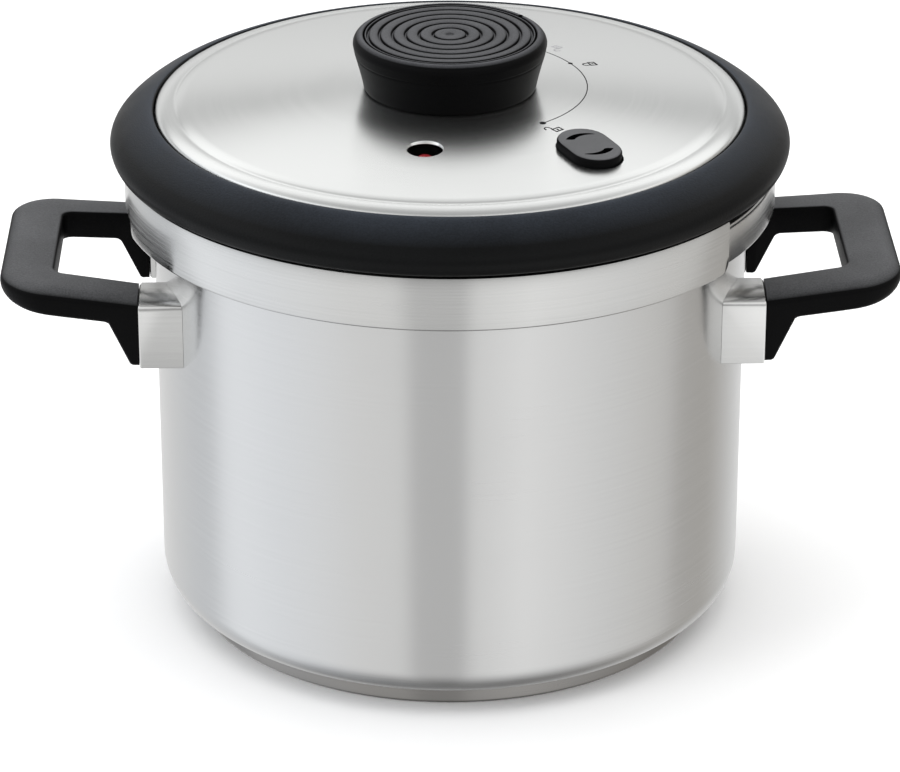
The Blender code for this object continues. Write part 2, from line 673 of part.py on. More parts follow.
def knob_body(frame, finish):
    """The knob's cup: wider at the top, with a rounded shoulder and a seat for the cap."""
    seat = KNOB_CAP_R + GAP
    outline = [(SHAFT_R + GAP, KNOB_LOW), (KNOB_FOOT_R - 0.8, KNOB_LOW), (KNOB_FOOT_R, KNOB_LOW + 0.6)]
    outline += [(37.6, KNOB_LOW + 13.4), (KNOB_R - 0.2, KNOB_TOP - 5.0), (KNOB_R, KNOB_TOP - 3.4)]
    outline += [(KNOB_R - 0.7, KNOB_TOP - 1.5), (KNOB_R - 2.2, KNOB_TOP - 0.3), (seat + 0.8, KNOB_TOP)]
    outline += [(seat, KNOB_TOP - 0.4), (seat, KNOB_TOP - 4.4), (32.6, KNOB_TOP - 4.4)]
    outline += [(31.4, KNOB_LOW + 3.0), (SHAFT_R + GAP, KNOB_LOW + 3.0)]
    made = turned("knob_body", outline, finish, frame, MEDIUM)
    notch = prism("cut_notch", stadium(7.0, 2.6, 4), KNOB_TOP - 1.6, KNOB_TOP + 2, finish, frame)
    notch.location = Vector((*polar(KNOB_R - 0.6, NOTCH_ANGLE), 0)) * MM
    notch.rotation_euler.z = math.radians(NOTCH_ANGLE)
    cut(made, notch)


def knob_cap(frame, finish):
    """The soft-touch cap with its locating skirt."""
    top, under = KNOB_TOP - 0.2, KNOB_TOP - 4.0
    outline = [(0, top), (KNOB_CAP_R - 0.5, top), (KNOB_CAP_R, top - 0.5), (KNOB_CAP_R, under)]
    outline += [(32.0, under), (32.0, under - 4.5), (30.4, under - 4.5), (30.4, under + 1.4)]
    outline += [(0, under + 1.4)]
    turned("knob_cap", outline, finish, frame, MEDIUM)


def knob_shaft(frame, finish):
    """The shaft from the bush on the lid plate, through cam plate and cover, into the knob."""
    foot, collar = PLATE_TOP + 1.2, CAM_LOW - GAP
    top = KNOB_LOW + 2.6
    outline = [(0, foot), (SHAFT_R - 0.6, foot), (SHAFT_R, foot + 0.6), (SHAFT_R, collar - 1.2)]
    outline += [(SHAFT_R + 4.0, collar - 1.2), (SHAFT_R + 4.0, collar), (SHAFT_R, collar), (SHAFT_R, top)]
    outline += [(2.3, top), (2.3, top - 12.0), (0, top - 12.0)]
    turned("knob_shaft", outline, finish, frame, SMALL)
    clip = CAM_HIGH + GAP
    inner = SHAFT_R + GAP
    ring = [(inner, clip), (inner + 2.6, clip), (inner + 2.6, clip + 1.2), (inner, clip + 1.2)]
    turned("shaft_clip", ring, finish, frame, SMALL)
    seat = KNOB_LOW + 3.0 + GAP
    screw("knob_screw", (0, 0), finish, frame, 1.95, 7.5, seat + 2.0, seat, top - 10.0)


def shaft_bush(frame, finish):
    """The flanged bush on the lid plate that the shaft turns in."""
    low, high = PLATE_TOP + GAP, CAM_LOW - GAP - 1.2 - GAP
    inner = SHAFT_R + 0.3
    outline = [(inner, low), (inner + 6.0, low), (inner + 6.0, low + 1.5), (inner + 3.5, low + 2.0)]
    outline += [(inner + 3.5, high), (inner, high)]
    turned("shaft_bush", outline, finish, frame, SMALL)


def knob(frame, finishes):
    turn = axis_empty("knob_turn", parent=frame)
    knob_body(turn, finishes["black_plastic"])
    knob_cap(turn, finishes["soft_touch"])
    knob_shaft(turn, finishes["plain_steel"])
    cam_plate(turn, finishes["plain_steel"])


# ---------------------------------------------------------------- indicator and valves


def indicator(frame, finishes):
    """A red pin that pressure lifts into the cover's window, in a rubber sleeve in the lid plate."""
    place = polar(*INDICATOR_AT)
    under = PLATE_TOP - PLATE_SHEET
    bore = 2.9
    sleeve = [(bore, under - 3.0), (7.0, under - 3.0), (7.4, under - GAP), (5.0, under - GAP)]
    sleeve += [(5.0, PLATE_TOP + GAP), (7.2, PLATE_TOP + GAP), (6.4, PLATE_TOP + 2.6)]
    sleeve += [(bore, PLATE_TOP + 2.6)]
    made = turned("indicator_sleeve", sleeve, finishes["seal_rubber"], frame, SMALL)
    made.location = Vector((*place, 0)) * MM
    rise = axis_empty("indicator_rise", (*place, 0), frame)
    foot = under - 12.0
    pin = [(0, foot), (4.4, foot), (4.4, foot + 1.6), (2.5, foot + 2.2), (2.5, 213.0), (3.2, 214.0)]
    pin += [(3.2, 217.4), (2.4, 218.4), (0, 218.6)]
    turned("indicator_pin", pin, finishes["red_plastic"], rise, SMALL)


def release_valve(frame, finishes):
    """The button on the cover pushes a poppet down off its seat, and a spring brings both back."""
    place = polar(*BUTTON_AT)
    under = PLATE_TOP - PLATE_SHEET
    flange, mouth = PLATE_TOP + GAP, under - 3.6
    seat = [(3.0, mouth), (6.0, mouth), (6.0, flange), (9.0, flange), (9.0, flange + 2.0)]
    seat += [(3.0, flange + 2.0)]
    made = turned("release_seat", seat, finishes["brass"], frame, SMALL)
    made.location = Vector((*place, 0)) * MM
    hex_nut("release_seat_nut", place, 6.35, 10.0, under - GAP, under - 2.9, finishes["plain_steel"], frame)

    press = axis_empty("release_press", (*place, 0), frame)
    collar, top = 207.0, 212.4
    poppet = [(0, mouth - 3.2), (4.4, mouth - 3.2), (5.0, mouth - 2.2), (5.0, mouth - GAP)]
    poppet += [(1.9, mouth - GAP), (1.9, collar), (5.8, collar), (5.8, collar + 1.4), (2.6, collar + 1.4)]
    poppet += [(2.6, top), (0, top)]
    turned("release_poppet", poppet, finishes["plain_steel"], press, SMALL)
    coil("release_spring", 4.2, 0.55, flange + 2.0 + GAP, collar - GAP, 4, finishes["plain_steel"], press)
    low = 212.4 + GAP
    outline = stadium(BUTTON_LENGTH, BUTTON_WIDTH)
    button = prism("release_button", outline, low, BUTTON_TOP, finishes["black_plastic"], press)
    button.rotation_euler.z = math.radians(BUTTON_TURN)
    rim = button.modifiers.new("rim", "BEVEL")
    rim.width = 1.3 * MM
    rim.segments = 2
    rim.limit_method = "ANGLE"
    rim.angle_limit = math.radians(60)


def pressure_valve(frame, finishes):
    """The spring-loaded piston that lifts and lets steam out above the working pressure."""
    place = polar(*VALVE_AT)
    under = PLATE_TOP - PLATE_SHEET
    flange, top = PLATE_TOP + GAP, 207.0
    body = [(2.6, under - 4.0), (7.0, under - 4.0), (7.0, flange), (10.0, flange), (10.0, flange + 2.2)]
    body += [(8.4, flange + 2.2), (8.4, top), (6.6, top), (6.6, flange + 2.2), (4.6, flange + 0.6)]
    body += [(2.6, flange + 0.6)]
    made = turned("valve_body", body, finishes["brass"], frame, SMALL)
    made.location = Vector((*place, 0)) * MM
    cap = [(0, top + GAP), (8.4, top + GAP), (8.4, top + 2.4), (0, top + 2.4)]
    made = turned("valve_cap", cap, finishes["brass"], frame, SMALL)
    made.location = Vector((*place, 0)) * MM
    hex_nut("valve_nut", place, 7.35, 11.0, under - GAP, under - 3.2, finishes["plain_steel"], frame)

    lift = axis_empty("valve_lift", (*place, 0), frame)
    head = flange + 2.2
    piston = [(0, flange - 2.0), (2.1, flange - 2.0), (2.1, flange + 0.9), (4.1, head + 0.4)]
    piston += [(6.0, head + 0.8), (6.0, head + 2.6), (2.4, head + 2.6), (2.4, head + 7.0), (0, head + 7.0)]
    turned("valve_piston", piston, finishes["plain_steel"], lift, SMALL)
    coil("valve_spring", 4.6, 0.6, head + 2.6 + GAP, top, 4, finishes["plain_steel"], lift)


# ---------------------------------------------------------------- assembly


def main():
    for old in list(bpy.data.objects):
        bpy.data.objects.remove(old, do_unlink=True)
    finishes = materials()
    pot_body(finishes["body_steel"])
    base(finishes["polished_steel"], finishes["aluminium"])
    rack(finishes["aluminium"])
    handles(finishes)

    lift = axis_empty("lid_lift")
    frame = axis_empty("lid_frame", parent=lift, yaw=LID_YAW)
    lid_plate(frame, finishes["plain_steel"])
    gasket(frame, finishes["seal_rubber"])
    lid_ring(frame, finishes["black_plastic"])
    lid_cover(frame, finishes["body_steel"])
    studs(frame, finishes)
    arm_guides(frame, finishes["plain_steel"])
    shaft_bush(frame, finishes["brass"])
    jaws(frame, finishes)
    knob(frame, finishes)
    indicator(frame, finishes)
    release_valve(frame, finishes)
    pressure_valve(frame, finishes)


main()
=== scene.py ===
"""The look of the pressure canner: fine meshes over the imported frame, materials, floor, light and camera.

Sizes are millimetres, and MM turns them into metres. The lid's pieces are drawn in the lid's own frame,
which sits turned by LID_TURN on the round pot.
"""

import json
import math

import bmesh
import bpy
from mathutils import Matrix, Vector


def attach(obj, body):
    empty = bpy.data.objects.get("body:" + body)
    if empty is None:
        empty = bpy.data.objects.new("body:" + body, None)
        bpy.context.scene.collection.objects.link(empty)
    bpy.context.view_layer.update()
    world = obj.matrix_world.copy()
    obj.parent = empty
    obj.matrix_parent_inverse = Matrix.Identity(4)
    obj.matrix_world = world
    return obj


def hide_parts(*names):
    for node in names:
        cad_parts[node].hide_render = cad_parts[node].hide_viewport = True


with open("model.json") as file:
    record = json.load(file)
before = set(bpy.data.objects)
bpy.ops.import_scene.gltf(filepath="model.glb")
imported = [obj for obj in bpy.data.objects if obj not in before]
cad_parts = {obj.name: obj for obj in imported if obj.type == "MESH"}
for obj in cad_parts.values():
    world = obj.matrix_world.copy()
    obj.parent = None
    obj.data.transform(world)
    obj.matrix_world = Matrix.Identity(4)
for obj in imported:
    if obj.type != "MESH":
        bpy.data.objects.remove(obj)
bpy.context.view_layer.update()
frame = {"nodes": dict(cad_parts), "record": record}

MM = 0.001
ROUND = 224  # segments of the largest round pieces
MIDDLE_ROUND = 160  # segments of the rack, the lid's inside and the knob
SMALL_ROUND = 40  # segments of pins, screws and small holes
GAP = 0.35  # clearance between neighbouring pieces
LID_TURN = math.radians(-10.1)

# Pot
WALL_R = 120.0
WALL = 1.1
CORNER_R = 14.0
FLOOR = 7.3
COLLAR_R = 131.3
COLLAR_LOW = 177.0
COLLAR_TOP = 191.5
BASE_R = 107.4
BASE_TOP = 6.9

# Handles
JOINT_X = 124.6
HANDLE_OUT = 180.7
HANDLE_HALF = 54.0
ARM_IN = 35.5
BAR_HALF = 49.0
HOLE_OUT = 159.2
HOLE_HALF = 31.0
HOLE_CORNER = 5.0
BAR_CORNER = 20.0
LEG_LOW = 124.2
ARM_TOP = 153.6
ARM_THICK = 12.2
HANDLE_RISE = math.tan(math.radians(5.5))
SCREW_Y = 44.7
SCREW_Z = 134.0

# Lid. Places marked AT are (radius, degrees) in the lid's own frame.
RING_NOSE_R = 136.6
COVER_R = 118.4
CREASE_R = 110.0
CREASE_Z = 218.0
COVER_TOP = 222.9
COVER_FLAT_R = 48.0
STUD_R = 104.0
STUD_ANGLES = (-20.0, 20.0, 160.0, 200.0)
INDICATOR_AT = (66.6, -89.4)
VALVE_AT = (84.0, 128.0)
BUTTON_AT = (84.7, -41.4)
BUTTON_TURN = -51.4
BUTTON_LENGTH = 30.0
BUTTON_WIDTH = 20.8
BUTTON_LOW = 212.75
BUTTON_TOP = 223.9
BUTTON_TILT = 5.0
MARK_R = 55.2

# Jaws
JAW_R = 133.0
JAW_LOW = 174.5
JAW_TOP = 196.5
JAW_INNER_R = 110.0
JAW_HALF_ANGLE = 63.5
JAW_CORNER = 4.6

# Knob
KNOB_R = 38.8
KNOB_FOOT_R = 34.7
KNOB_LOW = 223.4
KNOB_TOP = 245.4
KNOB_CAP_R = 34.3
NOTCH_ANGLE = 45.0
SHAFT_R = 5.35
GROOVES = (6.8, 12.4, 17.8, 23.0, 28.2, 32.8)


# ---------------------------------------------------------------- points and outlines


def polar(radius, degrees):
    return radius * math.cos(math.radians(degrees)), radius * math.sin(math.radians(degrees))


def arc(centre, radius, start, end, steps):
    """Points on an arc from one angle to another in degrees, both ends included."""
    turns = [start + (end - start) * i / steps for i in range(steps + 1)]
    return [(centre[0] + polar(radius, t)[0], centre[1] + polar(radius, t)[1]) for t in turns]


def fillet(outline, radii, steps=5, closed=True):
    """The outline with each corner rounded by its own radius. 0 keeps a corner sharp."""
    points = []
    for i, here in enumerate(outline):
        if radii[i] == 0 or (not closed and i in (0, len(outline) - 1)):
            points.append(tuple(here))
            continue
        corner = Vector(here)
        one = (Vector(outline[i - 1]) - corner).normalized()
        two = (Vector(outline[(i + 1) % len(outline)]) - corner).normalized()
        half = one.angle(two) / 2
        middle = corner + (one + two).normalized() * (radii[i] / math.sin(half))
        first = corner + one * (radii[i] / math.tan(half)) - middle
        last = corner + two * (radii[i] / math.tan(half)) - middle
        for k in range(steps + 1):
            points.append(tuple(middle + first.slerp(last, k / steps).normalized() * radii[i]))
    return points


def spline(points, steps=6):
    """A smooth curve through the points (Catmull-Rom)."""
    ends = [tuple(2 * Vector(points[0]) - Vector(points[1]))]
    tail = [tuple(2 * Vector(points[-1]) - Vector(points[-2]))]
    full = [Vector(p) for p in ends + list(points) + tail]
    out = []
    for a, b, c, d in zip(full, full[1:], full[2:], full[3:]):
        for k in range(steps):
            t = k / steps
            bend = (-a + 3 * b - 3 * c + d) * t**3 + (2 * a - 5 * b + 4 * c - d) * t**2
            out.append(tuple((bend + (c - a) * t + 2 * b) / 2))
    return out + [tuple(points[-1])]


def height_on(line, x):
    """Height of a polyline of rising x at x."""
    for (x1, z1), (x2, z2) in zip(line, line[1:]):
        if x <= x2:
            return z1 + (z2 - z1) * max(0.0, x - x1) / (x2 - x1)
    return line[-1][1]


def cover_height(radius):
    """Height of the cover's upper face inside its crease."""
    if radius <= COVER_FLAT_R:
        return COVER_TOP
    share = (radius - COVER_FLAT_R) / (CREASE_R - COVER_FLAT_R)
    return COVER_TOP - (COVER_TOP - CREASE_Z) * share**1.35


# ---------------------------------------------------------------- meshes


def lathe(outline, segments=ROUND):
    """A solid of revolution about Z from a closed outline of (radius, height) points."""
    bm = bmesh.new()
    rings = []
    for radius, height in outline:
        count = 1 if radius < 1e-6 else segments
        angles = [360.0 * i / segments for i in range(count)]
        rings.append([bm.verts.new((*polar(radius, a), height)) for a in angles])
    for lower, upper in zip(rings, rings[1:] + rings[:1]):
        for i in range(segments):
            corners = [lower[i % len(lower)], lower[(i + 1) % len(lower)]]
            corners += [upper[(i + 1) % len(upper)], upper[i % len(upper)]]
            distinct = list(dict.fromkeys(corners))
            if len(distinct) > 2:
                bm.faces.new(distinct)
    return bm


def loft(rings):
    """A solid through a row of closed rings with equal numbers of points, capped at both ends."""
    bm = bmesh.new()
    made = [[bm.verts.new(p) for p in ring] for ring in rings]
    count = len(made[0])
    for one, two in zip(made, made[1:]):
        for k in range(count):
            bm.faces.new([one[k], one[(k + 1) % count], two[(k + 1) % count], two[k]])
    bm.faces.new(made[0])
    bm.faces.new(made[-1])
    return bm


def slab(outline, low, high):
    """A flat outline raised from low to high."""
    return loft([[(*p, low) for p in outline], [(*p, high) for p in outline]])


def stadium(length, width, steps=14):
    """A slot's outline, long in X, with round ends."""
    radius, reach = width / 2, (length - width) / 2
    return arc((reach, 0), radius, -90, 90, steps) + arc((-reach, 0), radius, 90, 270, steps)


def placed(bm, at=(0, 0, 0), turn=0.0):
    """The mesh turned about Z by degrees and then moved."""
    matrix = Matrix.Translation(at) @ Matrix.Rotation(math.radians(turn), 4, "Z")
    bmesh.ops.transform(bm, matrix=matrix, verts=bm.verts)
    return bm


def joined(*parts):
    """One mesh from several."""
    whole = bmesh.new()
    for part in parts:
        mesh = bpy.data.meshes.new("part")
        part.to_mesh(mesh)
        part.free()
        whole.from_mesh(mesh)
        bpy.data.meshes.remove(mesh)
    return whole


def mesh_object(name, bm, turn=0.0):
    """An object in metres from a mesh in millimetres, turned about Z in radians, with its faces outward."""
    bmesh.ops.remove_doubles(bm, verts=bm.verts, dist=0.0005)
    bmesh.ops.transform(bm, matrix=Matrix.Rotation(turn, 4, "Z") @ Matrix.Scale(MM, 4), verts=bm.verts)
    bmesh.ops.recalc_face_normals(bm, faces=bm.faces)
    mesh = bpy.data.meshes.new(name)
    bm.to_mesh(mesh)
    bm.free()
    made = bpy.data.objects.new(name, mesh)
    bpy.context.scene.collection.objects.link(made)
    return made


def carve(piece, cutters):
    """Takes the cutters out of the piece and removes them."""
    for cutter in cutters:
        cut = piece.modifiers.new("cut", "BOOLEAN")
        cut.operation = "DIFFERENCE"
        cut.solver = "EXACT"
        cut.object = cutter
    graph = bpy.context.evaluated_depsgraph_get()
    whole = piece.data
    piece.data = bpy.data.meshes.new_from_object(piece.evaluated_get(graph))
    piece.modifiers.clear()
    bpy.data.meshes.remove(whole)
    for cutter in cutters:
        bpy.data.objects.remove(cutter, do_unlink=True)


def add(name, bm, body, material, nodes, turn=0.0, sharp=35.0, cutters=()):
    """One visible piece: mesh, cuts, shading, material, the body it rides on and the nodes it replaces.

    Edges sharper than sharp degrees stay hard. A piece with no nodes is print on another piece.
    """
    piece = mesh_object(name, bm, turn)
    if cutters:
        carve(piece, [mesh_object("cutter", cutter, turn) for cutter in cutters])
    piece.data.materials.clear()
    piece.data.materials.append(material)
    piece.data.shade_smooth()
    piece.data.set_sharp_from_angle(angle=math.radians(sharp))
    if nodes:
        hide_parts(*nodes)
    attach(piece, body)
    return piece


# ---------------------------------------------------------------- materials


TOP_LIGHT_TURN = (0.74, 0.985)  # the upward share of the normal at which the painted top light starts and is full


class Finish:
    """A material's node tree with short calls for the nodes that the finishes share."""

    def __init__(self, name, colour, roughness, metallic=0.0, **sockets):
        self.material = bpy.data.materials.new(name)
        self.material.use_nodes = True
        self.tree = self.material.node_tree
        self.shader = self.tree.nodes["Principled BSDF"]
        self.colour = colour
        self.put("Base Color", (*colour, 1.0))
        self.put("Roughness", roughness)
        self.put("Metallic", metallic)
        for socket, value in sockets.items():
            self.put(socket.replace("_", " "), value)
        self.place = self.tree.nodes.new("ShaderNodeTexCoord").outputs["Object"]

    def put(self, socket, value):
        self.shader.inputs[socket].default_value = value

    def link(self, output, socket):
        self.tree.links.new(output, socket)

    def feed(self, node, values):
        """Sets a node's inputs in order, each to a number or to another node's output."""
        for socket, value in zip(node.inputs, values):
            if isinstance(value, (int, float)):
                socket.default_value = value
            else:
                self.link(value, socket)
        return node.outputs[0]

    def math(self, operation, *values):
        node = self.tree.nodes.new("ShaderNodeMath")
        node.operation = operation
        return self.feed(node, values)

    def split(self):
        """The object's X, Y and Z coordinates."""
        node = self.tree.nodes.new("ShaderNodeSeparateXYZ")
        self.link(self.place, node.inputs[0])
        return node.outputs

    def vector(self, x, y, z):
        return self.feed(self.tree.nodes.new("ShaderNodeCombineXYZ"), (x, y, z))

    def stretched(self, x, y, z):
        """The object's coordinates with each axis scaled."""
        node = self.tree.nodes.new("ShaderNodeVectorMath")
        node.operation = "MULTIPLY"
        self.link(self.place, node.inputs[0])
        node.inputs[1].default_value = (x, y, z)
        return node.outputs[0]

    def noise(self, place, scale=1.0, detail=3.0, roughness=0.55):
        node = self.tree.nodes.new("ShaderNodeTexNoise")
        self.link(place, node.inputs["Vector"])
        node.inputs["Scale"].default_value = scale
        node.inputs["Detail"].default_value = detail
        node.inputs["Roughness"].default_value = roughness
        return node.outputs["Fac"]

    def spread(self, value, low, high, start=0.3, end=0.7):
        """From low to high as the value goes from start to end."""
        node = self.tree.nodes.new("ShaderNodeMapRange")
        self.link(value, node.inputs["Value"])
        for socket, number in zip(("From Min", "From Max", "To Min", "To Max"), (start, end, low, high)):
            node.inputs[socket].default_value = number
        return node.outputs["Result"]

    def tint(self, value, darker, lighter, colour=None):
        """The base colour or another, scaled from darker to lighter as the value goes from 0 to 1."""
        node = self.tree.nodes.new("ShaderNodeMix")
        node.data_type = "RGBA"
        base = colour or self.colour
        self.link(value, node.inputs["Factor"])
        node.inputs["A"].default_value = (*[min(1.0, c * darker) for c in base], 1.0)
        node.inputs["B"].default_value = (*[min(1.0, c * lighter) for c in base], 1.0)
        return node.outputs["Result"]

    def mix(self, factor, one, two):
        """A colour between two colour sockets."""
        node = self.tree.nodes.new("ShaderNodeMix")
        node.data_type = "RGBA"
        self.link(factor, node.inputs["Factor"])
        self.link(one, node.inputs["A"])
        self.link(two, node.inputs["B"])
        return node.outputs["Result"]

    def facing_up(self, low, high):
        """0 to 1 as the surface turns from a side to a top."""
        node = self.tree.nodes.new("ShaderNodeSeparateXYZ")
        self.link(self.tree.nodes.new("ShaderNodeTexCoord").outputs["Normal"], node.inputs[0])
        return self.spread(node.outputs[2], 0.0, 1.0, low, high)

    def bump(self, height, strength, distance):
        node = self.tree.nodes.new("ShaderNodeBump")
        self.link(height, node.inputs["Height"])
        node.inputs["Strength"].default_value = strength
        node.inputs["Distance"].default_value = distance
        return node.outputs["Normal"]


def brushed(name, colour, roughness, place_of, anisotropic, contrast, grain):
    """Brushed steel. place_of gives the coordinates that the brush lines are drawn in.

    contrast is how much the lines and a soft cloud change the tone, and grain is how deep the lines are.
    """
    finish = Finish(name, colour, roughness, 1.0, Anisotropic=anisotropic, Anisotropic_Rotation=0.25)
    if anisotropic:
        tangent = finish.tree.nodes.new("ShaderNodeTangent")
        tangent.direction_type = "RADIAL"
        tangent.axis = "Z"
        finish.link(tangent.outputs[0], finish.shader.inputs["Tangent"])
    lines = finish.noise(place_of(finish), detail=4.0, roughness=0.65)
    cloud = finish.noise(finish.place, scale=26.0, detail=3.0)
    mixed = finish.math("MULTIPLY_ADD", cloud, 0.35, finish.math("MULTIPLY", lines, 0.65))
    tone = finish.spread(mixed, 0.0, 1.0, 0.36, 0.64)
    finish.link(finish.tint(tone, 1.0 - contrast, 1.0 + contrast), finish.shader.inputs["Base Color"])
    uneven = 0.01 + contrast
    rough = finish.spread(mixed, roughness - uneven, roughness + uneven, 0.35, 0.65)
    finish.link(rough, finish.shader.inputs["Roughness"])
    finish.link(finish.bump(lines, grain, 0.0002), finish.shader.inputs["Normal"])
    return finish.material


def around_wall(finish):
    """Lines that run round the pot."""
    return finish.stretched(9.0, 9.0, 1300.0)


def around_disc(finish):
    """Lines that run in circles on a disc about Z."""
    x, y, _ = finish.split()
    squares = finish.math("ADD", finish.math("MULTIPLY", x, x), finish.math("MULTIPLY", y, y))
    radius = finish.math("SQRT", squares)
    lines = finish.math("MULTIPLY", radius, 1100.0)
    return finish.vector(finish.math("MULTIPLY", x, 9.0), finish.math("MULTIPLY", y, 9.0), lines)


def along_x(finish):
    """Straight lines along X."""
    return finish.stretched(14.0, 1100.0, 1100.0)


def grained(name, colour, roughness, scale, depth, contrast=0.25, painted_top_light=None, **sockets):
    """Moulded plastic or rubber with a fine even grain. Its optional paler colour is painted top light on
    upward faces.
    """
    finish = Finish(name, colour, roughness, 0.0, **sockets)
    grain = finish.noise(finish.place, scale=scale, detail=2.0, roughness=0.5)
    cloud = finish.noise(finish.place, scale=30.0, detail=4.0, roughness=0.6)
    mixed = finish.math("MULTIPLY_ADD", cloud, 0.5, finish.math("MULTIPLY", grain, 0.5))
    tone = finish.spread(mixed, 0.0, 1.0, 0.35, 0.65)
    tinted = finish.tint(tone, 1.0 - contrast, 1.0 + contrast)
    # Painted top light: the upward faces get a paler colour, as if lit from above.
    if painted_top_light:
        pale = finish.tint(tone, 1.0 - contrast, 1.0 + contrast, painted_top_light)
        tinted = finish.mix(finish.facing_up(*TOP_LIGHT_TURN), tinted, pale)
    finish.link(tinted, finish.shader.inputs["Base Color"])
    rough = finish.spread(cloud, roughness - 0.05, roughness + 0.06)
    finish.link(rough, finish.shader.inputs["Roughness"])
    finish.link(finish.bump(grain, depth, 0.0003), finish.shader.inputs["Normal"])
    return finish.material


def plain_metal(name, colour, roughness, scale=160.0):
    """Pressed, turned or cast metal with faint blotches and fine marks."""
    finish = Finish(name, colour, roughness, 1.0)
    cloud = finish.noise(finish.place, scale=scale, detail=4.0, roughness=0.6)
    tone = finish.spread(cloud, 0.0, 1.0)
    finish.link(finish.tint(tone, 0.88, 1.08), finish.shader.inputs["Base Color"])
    finish.link(finish.spread(cloud, roughness - 0.06, roughness + 0.08), finish.shader.inputs["Roughness"])
    finish.link(finish.bump(cloud, 0.06, 0.0003), finish.shader.inputs["Normal"])
    return finish.material


wall_steel = brushed("wall_steel", (0.665, 0.665, 0.66), 0.23, around_wall, 0.9, 0.035, 0.018)
jaw_steel = brushed("jaw_steel", (0.655, 0.655, 0.645), 0.21, around_wall, 0.85, 0.07, 0.035)
cover_steel = brushed("cover_steel", (0.775, 0.785, 0.775), 0.24, around_disc, 0.75, 0.005, 0.004)
base_steel = brushed("base_steel", (0.26, 0.252, 0.242), 0.22, around_wall, 0.5, 0.05, 0.03)
bracket_steel = brushed("bracket_steel", (0.74, 0.74, 0.73), 0.17, along_x, 0.0, 0.03, 0.04)
inner_steel = brushed("inner_steel", (0.66, 0.66, 0.65), 0.33, around_disc, 0.5, 0.04, 0.03)
pressed_steel = plain_metal("pressed_steel", (0.55, 0.55, 0.55), 0.34)
bright_steel = plain_metal("bright_steel", (0.70, 0.69, 0.67), 0.2, 400.0)
mill_aluminium = plain_metal("mill_aluminium", (0.76, 0.76, 0.77), 0.38, 120.0)
turned_brass = plain_metal("turned_brass", (0.72, 0.55, 0.24), 0.28)

DULL = {"Specular_IOR_Level": 0.07}
# The paler colours given for the upward faces of the black plastics below are painted top light, standing
# in for light from above.
ring_plastic = grained(
    "ring_plastic", (0.0014, 0.0016, 0.0018), 0.42, 1300.0, 0.35, 0.35,
    painted_top_light=(0.016, 0.020, 0.027), Specular_IOR_Level=0.15)
handle_plastic = grained(
    "handle_plastic", (0.0016, 0.0016, 0.0018), 0.46, 1600.0, 0.30, 0.30,
    painted_top_light=(0.069, 0.070, 0.073), **DULL)
knob_plastic = grained(
    "knob_plastic", (0.0012, 0.0012, 0.0014), 0.42, 1700.0, 0.2, 0.30,
    painted_top_light=(0.060, 0.061, 0.066), **DULL)
cap_plastic = grained(
    "cap_plastic", (0.0022, 0.0022, 0.0024), 0.50, 1700.0, 0.2, 0.30,
    painted_top_light=(0.066, 0.067, 0.071), **DULL)
button_plastic = grained(
    "button_plastic", (0.0022, 0.0022, 0.0024), 0.42, 2800.0, 0.06,
    painted_top_light=(0.085, 0.086, 0.089), **DULL)
mark_ink = grained("mark_ink", (0.008, 0.008, 0.009), 0.6, 3000.0, 0.05, **DULL)
worn_ink = grained("worn_ink", (0.30, 0.30, 0.31), 0.5, 3000.0, 0.05)
seal_rubber = grained("seal_rubber", (0.30, 0.30, 0.31), 0.62, 1500.0, 0.06, 0.1)
pin_red = grained("pin_red", (0.20, 0.008, 0.012), 0.18, 1200.0, 0.04, 0.15)

# The finish of the CAD pieces that have no finer mesh here, by their slot.
BY_SLOT = {
    "body_steel": bracket_steel,
    "polished_steel": base_steel,
    "plain_steel": pressed_steel,
    "aluminium": mill_aluminium,
    "brass": turned_brass,
    "black_plastic": handle_plastic,
    "soft_touch": cap_plastic,
    "seal_rubber": seal_rubber,
    "red_plastic": pin_red,
}
for entry in frame["record"]["subparts"]:
    frame["nodes"][entry["node"]].material_slots[0].material = BY_SLOT[entry["material_slot"]]


# ---------------------------------------------------------------- camera


CAMERA_TURN = math.radians(-1.1)
CAMERA_PITCH = math.radians(24.95)
CAMERA_AWAY = 1.7318
CAMERA_AIM = Vector((0, 0, 0.0903))
CAMERA_LENS = 167.28
CAMERA_SENSOR = 36.0


def add_camera():
    lens = bpy.data.cameras.new("camera")
    lens.lens = CAMERA_LENS
    lens.sensor_width = CAMERA_SENSOR
    lens.sensor_fit = "HORIZONTAL"
    lens.clip_start = 0.05
    lens.clip_end = 50.0
    camera = bpy.data.objects.new("camera", lens)
    bpy.context.scene.collection.objects.link(camera)
    turn = Matrix.Rotation(CAMERA_TURN, 4, "Z") @ Matrix.Rotation(math.pi / 2 - CAMERA_PITCH, 4, "X")
    back = turn @ Vector((0, 0, CAMERA_AWAY))
    camera.matrix_world = Matrix.Translation(CAMERA_AIM + back) @ turn
    bpy.context.scene.camera = camera


add_camera()


# ---------------------------------------------------------------- pot


